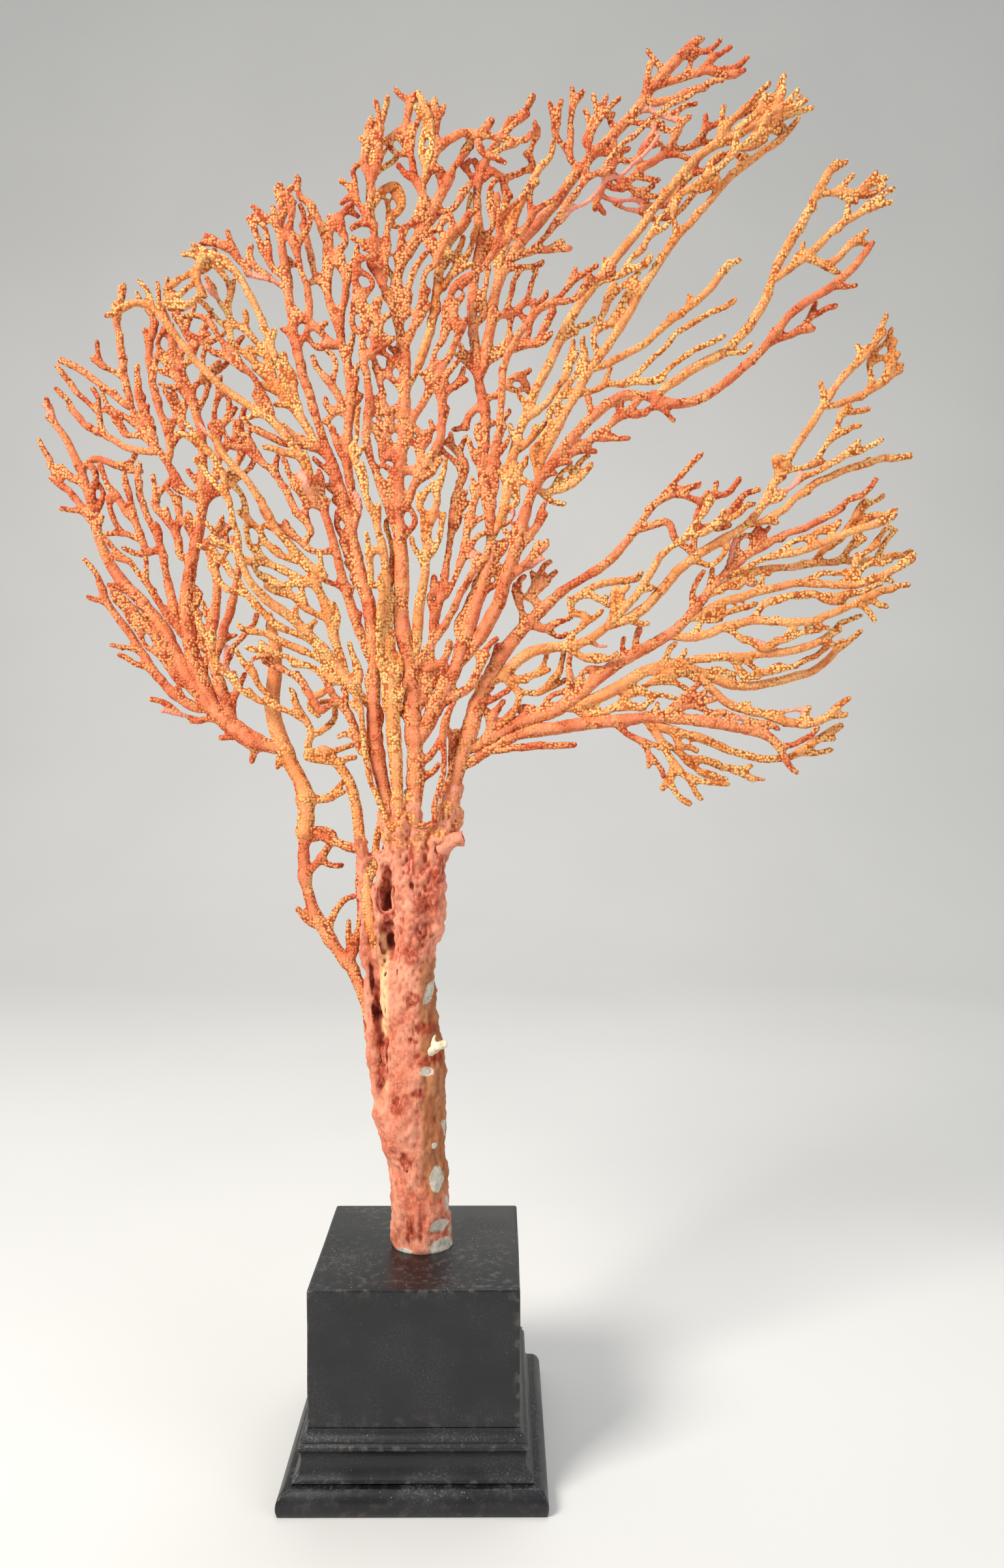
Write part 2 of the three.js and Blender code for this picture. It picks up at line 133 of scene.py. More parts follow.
def wander(draw: np.random.RandomState, count: int, spacing: float, wavelength: float) -> np.ndarray:
    """Smooth random numbers between about -1 and 1, for a line of evenly spaced points.

    Args:
        draw: the seeded draws.
        count: how many values.
        spacing: the distance between values.
        wavelength: the length of a bend.

    Returns:
        Smooth values around 0.
    """
    knots = max(4, int(count * spacing / wavelength) + 3)
    values = draw.uniform(-1.0, 1.0, knots)
    places = np.linspace(0.0, knots - 1.001, count)
    low = places.astype(int)
    share = smooth_step(places - low, 0.0, 1.0)
    return values[low] * (1 - share) + values[np.minimum(low + 1, knots - 1)] * share


def lattice_noise(points: np.ndarray, wavelength: float, draw: np.random.RandomState) -> np.ndarray:
    """Smooth random numbers between -1 and 1 over space.

    Args:
        points: where to take them, (N, 3).
        wavelength: the size of the noise's features, one number or one for each axis.
        draw: the seeded draws.

    Returns:
        One number for each point.
    """
    places = (points - points.min(0)) / wavelength
    low = np.floor(places).astype(int)
    share = smooth_step(places - low, 0.0, 1.0)
    grid = draw.uniform(-1.0, 1.0, tuple(low.max(0) + 2))
    total = np.zeros(len(points))
    for i in (0, 1):
        for j in (0, 1):
            for k in (0, 1):
                weight = np.abs(1 - i - share[:, 0]) * np.abs(1 - j - share[:, 1])
                weight = weight * np.abs(1 - k - share[:, 2])
                total += weight * grid[low[:, 0] + i, low[:, 1] + j, low[:, 2] + k]
    return total


def fused(obj: bpy.types.Object, voxel: float, rounds: int) -> None:
    """Turns an object's overlapping closed bodies into one even skin.

    Args:
        obj: the object, whose mesh is replaced.
        voxel: the size of the skin's faces in millimetres.
        rounds: how often the skin is smoothed.
    """
    remesh = obj.modifiers.new("skin", "REMESH")
    remesh.mode = "VOXEL"
    remesh.voxel_size = voxel * MM
    ease = obj.modifiers.new("ease", "SMOOTH")
    ease.factor = 0.5
    ease.iterations = rounds
    graph = bpy.context.evaluated_depsgraph_get()
    bodies = obj.data
    obj.data = bpy.data.meshes.new_from_object(obj.evaluated_get(graph))
    obj.modifiers.clear()
    bpy.data.meshes.remove(bodies)
    obj.data.name = obj.name
    obj.data.shade_smooth()


def corners_of(mesh: bpy.types.Mesh) -> np.ndarray:
    """A mesh's vertex positions in millimetres."""
    flat = np.zeros(len(mesh.vertices) * 3)
    mesh.vertices.foreach_get("co", flat)
    return flat.reshape(-1, 3) / MM


def new_object(name: str, corners: np.ndarray, faces: list, smooth: bool = True) -> bpy.types.Object:
    """A mesh object in the scene.

    Args:
        name: the object's name.
        corners: vertex positions in millimetres, (N, 3).
        faces: lists of vertex numbers.
        smooth: whether the faces are shaded smooth.

    Returns:
        The new object.
    """
    mesh = bpy.data.meshes.new(name)
    mesh.from_pydata((corners * MM).tolist(), [], faces)
    mesh.validate()
    if smooth:
        mesh.shade_smooth()
    obj = bpy.data.objects.new(name, mesh)
    bpy.context.scene.collection.objects.link(obj)
    return obj


def set_attribute(mesh: bpy.types.Mesh, name: str, values: np.ndarray) -> None:
    """Stores one number for each vertex."""
    attribute = mesh.attributes.new(name, "FLOAT", "POINT")
    attribute.data.foreach_set("value", values.astype(np.float32))


# ---------------------------------------------------------------- material nodes


def colour(hex_code: str) -> tuple[float, float, float, float]:
    """A colour written as in a paint chart, as linear RGBA."""
    parts = [int(hex_code[k : k + 2], 16) / 255 for k in (0, 2, 4)]
    linear = [p / 12.92 if p <= 0.04045 else ((p + 0.055) / 1.055) ** 2.4 for p in parts]
    return (*linear, 1.0)


class NodeGraph:
    """A material's nodes, made and linked by short calls."""

    def __init__(self, name: str) -> None:
        """Starts a material that holds only its Principled BSDF and output.

        Args:
            name: the name of the material.
        """
        self.material = bpy.data.materials.new(name)
        self.material.use_nodes = True
        self.tree = self.material.node_tree
        self.shader = self.tree.nodes["Principled BSDF"]
        self._place = None

    def add(self, kind: str, **settings: object) -> bpy.types.Node:
        """A new node with its properties set.

        Args:
            kind: the node type.

        Returns:
            The new node.
        """
        node = self.tree.nodes.new(kind)
        for key, value in settings.items():
            setattr(node, key, value)
        return node

    def feed(self, socket: bpy.types.NodeSocket, value: object) -> None:
        """Links a socket's source, or sets its number or colour."""
        if isinstance(value, bpy.types.NodeSocket):
            self.tree.links.new(value, socket)
        else:
            socket.default_value = value

    def place(self) -> bpy.types.NodeSocket:
        """The point being shaded, in millimetres of the object's own frame."""
        if self._place is None:
            coordinates = self.add("ShaderNodeTexCoord")
            scale = self.add("ShaderNodeVectorMath", operation="SCALE")
            self.feed(scale.inputs[0], coordinates.outputs["Object"])
            self.feed(scale.inputs["Scale"], 1 / MM)
            self._place = scale.outputs[0]
        return self._place

    def stretched(self, x: float, y: float, z: float) -> bpy.types.NodeSocket:
        """The place with each axis scaled, for grain that runs one way.

        Args:
            x: the factor along X.
            y: the factor along Y.
            z: the factor along Z.

        Returns:
            The scaled coordinates.
        """
        node = self.add("ShaderNodeVectorMath", operation="MULTIPLY")
        self.feed(node.inputs[0], self.place())
        self.feed(node.inputs[1], (x, y, z))
        return node.outputs[0]

    def noise(
        self, size: float, detail: float = 3.0, roughness: float = 0.55, vector: object = None
    ) -> bpy.types.NodeSocket:
        """Noise from 0 to 1 whose features are about size millimetres wide.

        Args:
            size: the size of a feature in millimetres.
            detail: how many finer layers.
            roughness: the strength of the finer layers.
            vector: coordinates, or None for plain ones.

        Returns:
            The noise.
        """
        node = self.add("ShaderNodeTexNoise")
        self.feed(node.inputs["Vector"], vector or self.place())
        self.feed(node.inputs["Scale"], 1 / size)
        self.feed(node.inputs["Detail"], detail)
        self.feed(node.inputs["Roughness"], roughness)
        return node.outputs["Fac"]

    def cells(self, size: float, randomness: float = 1.0) -> bpy.types.NodeSocket:
        """Distance to the nearest of scattered points about size millimetres apart, in such sizes.

        Args:
            size: the size of a cell in millimetres.
            randomness: how uneven the cells are, from 0 to 1.

        Returns:
            The distance to the nearest cell centre.
        """
        node = self.add("ShaderNodeTexVoronoi")
        self.feed(node.inputs["Randomness"], randomness)
        self.feed(node.inputs["Vector"], self.place())
        self.feed(node.inputs["Scale"], 1 / size)
        return node.outputs["Distance"]

    def attribute(self, name: str) -> bpy.types.NodeSocket:
        """A number stored on the mesh."""
        return self.add("ShaderNodeAttribute", attribute_name=name).outputs["Fac"]

    def ramp(
        self, source: bpy.types.NodeSocket, low: float, high: float, bottom: float = 0.0, top: float = 1.0
    ) -> bpy.types.NodeSocket:
        """Source from low to high becomes bottom to top along an S curve.

        Args:
            source: the value to map.
            low: the value that gives bottom.
            high: the value that gives top.
            bottom: the result at low.
            top: the result at high.

        Returns:
            The mapped value.
        """
        node = self.add("ShaderNodeMapRange", interpolation_type="SMOOTHSTEP")
        self.feed(node.inputs["Value"], source)
        for key, value in (("From Min", low), ("From Max", high), ("To Min", bottom), ("To Max", top)):
            self.feed(node.inputs[key], value)
        return node.outputs["Result"]

    def math(self, operation: str, first: object, second: object) -> bpy.types.NodeSocket:
        """One sum of two numbers.

        Args:
            operation: the operation.
            first: a socket or a number.
            second: a socket or a number.

        Returns:
            The result.
        """
        node = self.add("ShaderNodeMath", operation=operation)
        self.feed(node.inputs[0], first)
        self.feed(node.inputs[1], second)
        return node.outputs[0]

    def mix(self, share: object, first: object, second: object, blend: str = "MIX") -> bpy.types.NodeSocket:
        """First goes over to second as share goes from 0 to 1.

        Args:
            share: how much of the second shows.
            first: a socket or a colour.
            second: a socket or a colour.
            blend: the blend type.

        Returns:
            The mixed colour.
        """
        node = self.add("ShaderNodeMix", data_type="RGBA", blend_type=blend)
        self.feed(node.inputs[0], share)
        self.feed(node.inputs[6], first)
        self.feed(node.inputs[7], second)
        return node.outputs[2]

    def bump(
        self, height: bpy.types.NodeSocket, depth_mm: float, under: object = None
    ) -> bpy.types.NodeSocket:
        """A surface normal tilted by a height of up to depth_mm.

        Args:
            height: the relief, from 0 to 1.
            depth_mm: the height of the relief in millimetres.
            under: a normal to build on, or None.

        Returns:
            The bent normal.
        """
        node = self.add("ShaderNodeBump")
        self.feed(node.inputs["Height"], height)
        self.feed(node.inputs["Distance"], depth_mm * MM)
        if under is not None:
            self.feed(node.inputs["Normal"], under)
        return node.outputs["Normal"]


@dataclass(frozen=True)
class CrustFinish:
    """The crust of a living stem once dried: close round polyps on a deeper ground.

    ground lies between the polyps and knot is its deeper patches. ridge is the smoother salmon of swollen
    joints and of the middle of thick stems, and blush is the pink of thin tips and lumps.
    """

    name: str
    ground: str
    polyp: str
    warm_polyp: str
    ridge: str
    knot: str
    blush: str

    def material(self) -> bpy.types.Material:
        """Builds the finish as nodes.

        Returns:
            The material.
        """
        graph = NodeGraph(self.name)
        ridge = graph.attribute("ridge")
        cloud = graph.noise(14.0, 2.0)
        mottle = graph.noise(2.6, 3.0)
        grain = graph.noise(0.5, 2.0)
        dome = graph.ramp(graph.cells(1.2, 0.75), 0.62, 0.1)
        dot = graph.ramp(graph.cells(1.2, 0.75), 0.64, 0.42)
        patchy = graph.math("MULTIPLY", graph.noise(4.5, 3.0), 1.3)
        swollen = graph.math("MAXIMUM", ridge, graph.math("MULTIPLY", graph.attribute("knot"), 0.85))
        bald = graph.ramp(graph.math("ADD", swollen, patchy), 0.95, 1.75)
        set_back = graph.math("SUBTRACT", 1.0, graph.math("MULTIPLY", bald, 0.65))
        ground = graph.mix(graph.ramp(mottle, 0.35, 0.7), colour(self.ground), colour(self.knot))
        bead = graph.mix(graph.ramp(cloud, 0.4, 0.65), colour(self.polyp), colour(self.warm_polyp))
        smooth = graph.mix(graph.ramp(mottle, 0.3, 0.75), colour(self.ridge), colour(self.warm_polyp))
        skin = graph.mix(bald, ground, smooth)
        skin = graph.mix(graph.math("MULTIPLY", dot, set_back), skin, bead)
        skin = graph.mix(graph.math("MULTIPLY", graph.attribute("tip"), 0.7), skin, colour(self.blush))
        reddened = graph.mix(1.0, skin, (1.0, 0.72, 0.58, 1.0), "MULTIPLY")
        skin = graph.mix(graph.math("MULTIPLY", graph.attribute("warmth"), 0.5), skin, reddened)
        # Painted shade: concave places, found by the mesh's pointiness, are darkened and reddened as if
        # shade fell in the crevices between stems and twigs.
        hollow = graph.ramp(graph.add("ShaderNodeNewGeometry").outputs["Pointiness"], 0.42, 0.5)
        skin = graph.mix(hollow, graph.mix(1.0, skin, (0.6, 0.36, 0.3, 1.0), "MULTIPLY"), skin)
        graph.feed(graph.shader.inputs["Base Color"], skin)
        graph.feed(graph.shader.inputs["Roughness"], graph.ramp(mottle, 0.2, 0.8, 0.6, 0.88))
        graph.feed(graph.shader.inputs["Specular IOR Level"], 0.35)
        raised = graph.math("MULTIPLY", dome, set_back)
        graph.feed(graph.shader.inputs["Normal"], graph.bump(raised, 0.38, graph.bump(grain, 0.1)))
        return graph.material


@dataclass(frozen=True)
class TrunkFinish:
    """The trunk's granular crust, with bare chalky patches, pits painted dark as their shade, a browner
    right side that is partly painted shade and partly streaked crust, a pale strip painted as highlight on
    the lit left side, and painted shade in its hollows.
    """

    name: str
    ground: str
    light: str
    fleck: str
    brown_shade: str
    tan: str
    pale: str
    pit: str
    bare: str

    def material(self) -> bpy.types.Material:
        """Builds the finish as nodes.

        Returns:
            The material.
        """
        graph = NodeGraph(self.name)
        grain = graph.noise(0.7, 4.0, 0.7)
        fine = graph.noise(1.3, 4.0, 0.65, graph.stretched(1.0, 1.0, 0.4))
        streak = graph.noise(3.0, 5.0, 0.65, graph.stretched(1.0, 1.0, 0.22))
        cloud = graph.noise(12.0, 3.0)
        skin = graph.mix(graph.ramp(cloud, 0.35, 0.65), colour(self.ground), colour(self.light))
        flecks = graph.ramp(fine, 0.5, 0.74)
        skin = graph.mix(graph.math("MULTIPLY", flecks, 0.7), skin, colour(self.fleck))
        crumbs = graph.ramp(graph.cells(1.5), 0.55, 0.3)
        skin = graph.mix(graph.math("MULTIPLY", crumbs, 0.4), skin, colour(self.light))
        # Painted shade: the trunk's right side, away from the key light, gets a brownish colour, streaked
        # with tan along its grain.
        worn_and_shaded = graph.mix(graph.ramp(streak, 0.35, 0.65), colour(self.brown_shade), colour(self.tan))
        spread = graph.math("ADD", graph.attribute("brown_shade"), graph.math("MULTIPLY", streak, 0.9))
        skin = graph.mix(graph.ramp(spread, 0.62, 1.3, 0.0, 0.9), skin, worn_and_shaded)
        # Painted highlight: a pale cream strip on the front of the trunk's left side, where the key light
        # falls.
        painted_left_highlight = graph.math("ADD", graph.attribute("pale"), graph.math("MULTIPLY", fine, 0.8))
        skin = graph.mix(graph.ramp(painted_left_highlight, 0.75, 1.25, 0.0, 0.85), skin, colour(self.pale))
        young = graph.math("MULTIPLY", graph.attribute("gold"), graph.ramp(graph.noise(5.0, 3.0), 0.42, 0.6))
        beads = graph.mix(graph.ramp(graph.cells(1.2, 0.75), 0.62, 0.4), colour("c4652e"), colour("f6b468"))
        skin = graph.mix(graph.math("MULTIPLY", young, 0.85), skin, beads)
        rough_red = graph.math("MULTIPLY", graph.attribute("red"), graph.ramp(fine, 0.3, 0.56))
        skin = graph.mix(graph.math("MULTIPLY", rough_red, 0.9), skin, colour(self.fleck))
        # Painted shade: the pits, which are also carved into the skin, are painted near black as the shade
        # inside them.
        pit_shade = graph.math("ADD", graph.attribute("pit"), graph.math("MULTIPLY", grain, 0.5))
        skin = graph.mix(graph.ramp(pit_shade, 0.65, 1.15), skin, colour(self.pit))
        edge = graph.math("ADD", graph.attribute("bare"), graph.math("MULTIPLY", graph.noise(1.6, 4.0), 0.5))
        chalk = graph.mix(graph.ramp(graph.noise(3.0, 4.0), 0.4, 0.75), colour(self.bare), colour("a89680"))
        skin = graph.mix(graph.ramp(edge, 0.27, 0.4), skin, chalk)
        # Painted shade: the trunk's concave places, found by pointiness, are darkened as if shade fell in
        # its clefts and hollows.
        hollow = graph.ramp(graph.add("ShaderNodeNewGeometry").outputs["Pointiness"], 0.44, 0.51)
        skin = graph.mix(hollow, graph.mix(1.0, skin, (0.62, 0.38, 0.32, 1.0), "MULTIPLY"), skin)
        graph.feed(graph.shader.inputs["Base Color"], skin)
        graph.feed(graph.shader.inputs["Roughness"], graph.ramp(grain, 0.2, 0.8, 0.7, 0.95))
        graph.feed(graph.shader.inputs["Specular IOR Level"], 0.3)
        sand = graph.bump(grain, 0.25)
        graph.feed(graph.shader.inputs["Normal"], graph.bump(fine, 0.45, sand))
        return graph.material


@dataclass(frozen=True)
class ChalkFinish:
    """Bare axis where the crust has broken away."""

    name: str
    chalk: str
    stain: str

    def material(self) -> bpy.types.Material:
        """Builds the finish as nodes.

        Returns:
            The material.
        """
        graph = NodeGraph(self.name)
        blotch = graph.noise(2.5, 4.0)
        grain = graph.noise(0.4, 3.0, 0.7)
        skin = graph.mix(graph.ramp(blotch, 0.4, 0.7), colour(self.chalk), colour(self.stain))
        graph.feed(graph.shader.inputs["Base Color"], skin)
        graph.feed(graph.shader.inputs["Roughness"], graph.ramp(grain, 0.3, 0.7, 0.7, 0.9))
        graph.feed(graph.shader.inputs["Normal"], graph.bump(grain, 0.2))
        return graph.material


@dataclass(frozen=True)
class PaintFinish:
    """Satin black paint over moulded wood, rubbed pale along its edges and lightly dusty."""

    name: str
    paint: str
    rubbed: str
    dust: str

    def material(self) -> bpy.types.Material:
        """Builds the finish as nodes.

        Returns:
            The material.
        """
        graph = NodeGraph(self.name)
        cloud = graph.noise(28.0, 4.0)
        brush = graph.noise(1.2, 4.0, 0.6, graph.stretched(0.12, 0.12, 1.0))
        geometry = graph.add("ShaderNodeNewGeometry")
        facing = graph.add("ShaderNodeSeparateXYZ")
        graph.feed(facing.inputs[0], geometry.outputs["Normal"])
        up = graph.ramp(facing.outputs["Z"], 0.2, 0.9)
        skin = graph.mix(graph.ramp(cloud, 0.35, 0.7), colour(self.paint), colour("1c1c1f"))
        specks = graph.ramp(graph.cells(1.9), 0.12, 0.06)
        thick = graph.ramp(graph.noise(9.0, 3.0), 0.42, 0.62)
        lying = graph.math("ADD", graph.math("MULTIPLY", up, 0.75), 0.12)
        dusty = graph.math("MULTIPLY", graph.math("MULTIPLY", specks, thick), lying)
        skin = graph.mix(dusty, skin, colour(self.dust))
        fine = graph.ramp(graph.noise(0.8, 2.0), 0.5, 0.7)
        powder = graph.math("MULTIPLY", graph.ramp(cloud, 0.4, 0.7), fine)
        film = graph.math("MULTIPLY", graph.math("ADD", graph.math("MULTIPLY", up, 0.7), 0.3), powder)
        film = graph.math("MULTIPLY", film, 0.16)
        skin = graph.mix(film, skin, colour(self.dust))
        rubs = graph.math("MULTIPLY", graph.attribute("edge"), graph.ramp(graph.noise(3.5, 5.0), 0.5, 0.68))
        skin = graph.mix(graph.math("MULTIPLY", rubs, 0.55), skin, colour(self.rubbed))
        graph.feed(graph.shader.inputs["Base Color"], skin)
        rough = graph.ramp(cloud, 0.3, 0.75, 0.3, 0.46)
        rough = graph.math("ADD", rough, graph.math("MULTIPLY", dusty, 0.4))
        graph.feed(graph.shader.inputs["Roughness"], rough)
        graph.feed(graph.shader.inputs["Specular IOR Level"], 0.5)
        ripple = graph.bump(brush, 0.05)
        graph.feed(graph.shader.inputs["Normal"], graph.bump(graph.noise(0.7, 2.0), 0.02, ripple))
        return graph.material


@dataclass(frozen=True)
class StageFinish:
    """The pale studio floor."""

    name: str
    tone: str

    def material(self) -> bpy.types.Material:
        """Builds the finish as nodes.

        Returns:
            The material.
        """
        graph = NodeGraph(self.name)
        cloud = graph.noise(300.0, 2.0)
        tone = graph.mix(graph.ramp(cloud, 0.3, 0.7, 0.0, 0.12), colour(self.tone), (0.5, 0.5, 0.5, 1.0))
        graph.feed(graph.shader.inputs["Base Color"], tone)
        graph.feed(graph.shader.inputs["Roughness"], 0.75)
        return graph.material


# ---------------------------------------------------------------- the fan's lines


@dataclass(frozen=True)
class Sightlines:
    """Routes are drawn flat, as seen from one point in front, and moved back along the lines of sight."""

    station: tuple[float, float, float] = (31.5, -458.6, 280.0)

    def place(self, drawn: np.ndarray, depth: np.ndarray) -> np.ndarray:
        """Drawn (N, 2) points at their depths, as (N, 3) points."""
        station = np.array(self.station)
        flat = np.stack([drawn[:, 0], np.zeros(len(drawn)), drawn[:, 1]], axis=1)
        return station + (flat - station) * (1 - depth / station[1])[:, None]

    def draw(self, points: np.ndarray) -> np.ndarray:
        """(N, 3) points as they are drawn, (N, 2)."""
        station = np.array(self.station)
        share = 1 - points[:, 1] / station[1]
        return ((points - station) / share[:, None] + station)[:, [0, 2]]


@dataclass
class Branch:
    """One stem or twig: the line down its middle from root to tip, and its radius along it."""

    piece: str
    points: np.ndarray
    radii: np.ndarray
    warmth: float
    blush: float = 0.0
    forks: list[np.ndarray] = field(default_factory=list)


@dataclass
class LimbReader:
    """Finds the line down the middle of a limb's solid, from points spread over its surface.

    The points are linked to their neighbours, so that every point has a distance along the limb from
    its tip. The middle of the points that share a distance is a point of the line.
    """

    grain: float = 1.5
    link: float = 2.7
    bin_length: float = 5.0
    hexagon_share: float = 0.93
    seated_gap: float = 1.0

    def spread(self, node: bpy.types.Object) -> np.ndarray:
        """Points spread evenly over a solid's faces.

        Args:
            node: the limb's solid.

        Returns:
            Points over its surface.
        """
        mesh = node.data
        corners = corners_of(mesh)
        out = [corners]
        mesh.calc_loop_triangles()
        for triangle in mesh.loop_triangles:
            a, b, c = corners[list(triangle.vertices)]
            steps = max(1, int(math.ceil(max(np.linalg.norm(b - a), np.linalg.norm(c - a)) / self.grain)))
            across, along = np.meshgrid(np.arange(steps + 1), np.arange(steps + 1))
            inside = (across + along <= steps).ravel()
            u, v = across.ravel()[inside] / steps, along.ravel()[inside] / steps
            out.append(a + np.outer(u, b - a) + np.outer(v, c - a))
        cells = np.round(np.vstack(out) / (self.grain * 0.8))
        _, first = np.unique(cells, axis=0, return_index=True)
        return np.vstack(out)[np.sort(first)]

    def walked(self, spots: np.ndarray, near: list[list[tuple[int, float]]], start: int) -> np.ndarray:
        """How far each spot is from the start, going from neighbour to neighbour.

        Args:
            spots: points over a limb.
            near: the neighbours of each point and how far they are.
            start: the point to walk from.

        Returns:
            The walking distance to each point.
        """
        lengths = np.full(len(spots), np.inf)
        lengths[start] = 0.0
        queue = [(0.0, start)]
        while queue:
            run, spot = heapq.heappop(queue)
            if run > lengths[spot]:
                continue
            for other, step in near[spot]:
                if run + step < lengths[other]:
                    lengths[other] = run + step
                    heapq.heappush(queue, (run + step, other))
        lengths[np.isinf(lengths)] = -1.0
        return lengths

    def read(
        self, node: bpy.types.Object, others: dict[str, BVHTree]
    ) -> tuple[np.ndarray, np.ndarray, str]:
        """Reads one limb.

        Args:
            node: the limb's solid.
            others: the surfaces of the trunk and of the other limbs.

        Returns:
            Points from root to tip, (N, 3), the radius at each, and the name of the solid that bears it.
        """
        spots = self.spread(node)
        tree = KDTree(len(spots))
        for k, spot in enumerate(spots):
            tree.insert(spot, k)
        tree.balance()
        near = [[(i, d) for _, i, d in tree.find_range(spot, self.link)] for spot in spots]
        end = int(np.argmax(self.walked(spots, near, 0)))
        lengths = self.walked(spots, near, end)
        far = int(np.argmax(lengths))
        seats = [self.seat(spots, k, others) for k in (end, far)]
        seated = [gap < self.seated_gap for gap, _ in seats]
        gaps = [others["trunk"].find_nearest(Vector(spots[place]))[3] for place in (end, far)]
        nearer = gaps[0] < gaps[1]
        if nearer if seated[0] and seated[1] else seats[0][0] < seats[1][0]:
            lengths = self.walked(spots, near, far)
            root, tip = seats[0], far
        else:
            root, tip = seats[1], end
        points, radii = self.middle(spots, lengths)
        return np.vstack([points[::-1], spots[tip]]), np.append(radii[::-1], radii[0] * 0.8), root[1]

    def seat(self, spots: np.ndarray, end: int, others: dict[str, BVHTree]) -> tuple[float, str]:
        """How closely an end of a limb sits on the nearest other solid, and that solid's name.

        Args:
            spots: points over a limb.
            end: the number of a point at one end.
            others: the other solids.

        Returns:
            The gap to the nearest solid, and its name.
        """
        face = spots[np.linalg.norm(spots - spots[end], axis=1) < 2.4]
        gaps = {
            name: float(np.mean([surface.find_nearest(Vector(spot))[3] for spot in face]))
            for name, surface in others.items()
        }
        name = min(gaps, key=gaps.get)
        return gaps[name], name

    def middle(self, spots: np.ndarray, lengths: np.ndarray) -> tuple[np.ndarray, np.ndarray]:
        """The middle line from the tip, and the radius at each of its points.

        Args:
            spots: points over a limb.
            lengths: the walking distance of each point.

        Returns:
            The middle line's points and radii.
        """
        total = float(lengths.max())
        bins = max(3, int(round(total / self.bin_length)))
        centres = np.zeros((bins, 3))
        for k in range(bins):
            own = (lengths >= total * k / bins) & (lengths <= total * (k + 1) / bins)
            centres[k] = (spots[own].min(0) + spots[own].max(0)) / 2 * 0.5 + spots[own].mean(0) * 0.5
        eased = centres.copy()
        eased[1:-1] = 0.5 * centres[1:-1] + 0.25 * (centres[:-2] + centres[2:])
        radii = np.zeros(bins)
        for k in range(bins):
            a, b = eased[max(0, k - 1)], eased[min(bins - 1, k + 1)]
            way = unit(b - a)
            own = (lengths >= total * k / bins) & (lengths <= total * (k + 1) / bins)
            offsets = spots[own] - eased[k]
            offsets -= np.outer(offsets @ way, way)
            radii[k] = np.median(np.linalg.norm(offsets, axis=1)) / self.hexagon_share
        padded = np.pad(radii, 2, mode="edge")
        radii = np.median(np.stack([padded[k : k + bins] for k in range(5)]), axis=0)
        return eased, radii


class Region(Enum):
    """Parts of the fan that share their growth, by the names of their limbs."""

    LEFT_LOBE = ("left_lobe", "left_side", "left_flank")
    FRONT = ("front_", "crown_left")
    CROWN = ("crown_",)
    RIGHT = ("right_",)

    @staticmethod
    def of(piece: str) -> "Region":
        """The region that a limb belongs to."""
        return next((r for r in Region if piece.startswith(r.value)), Region.CROWN)
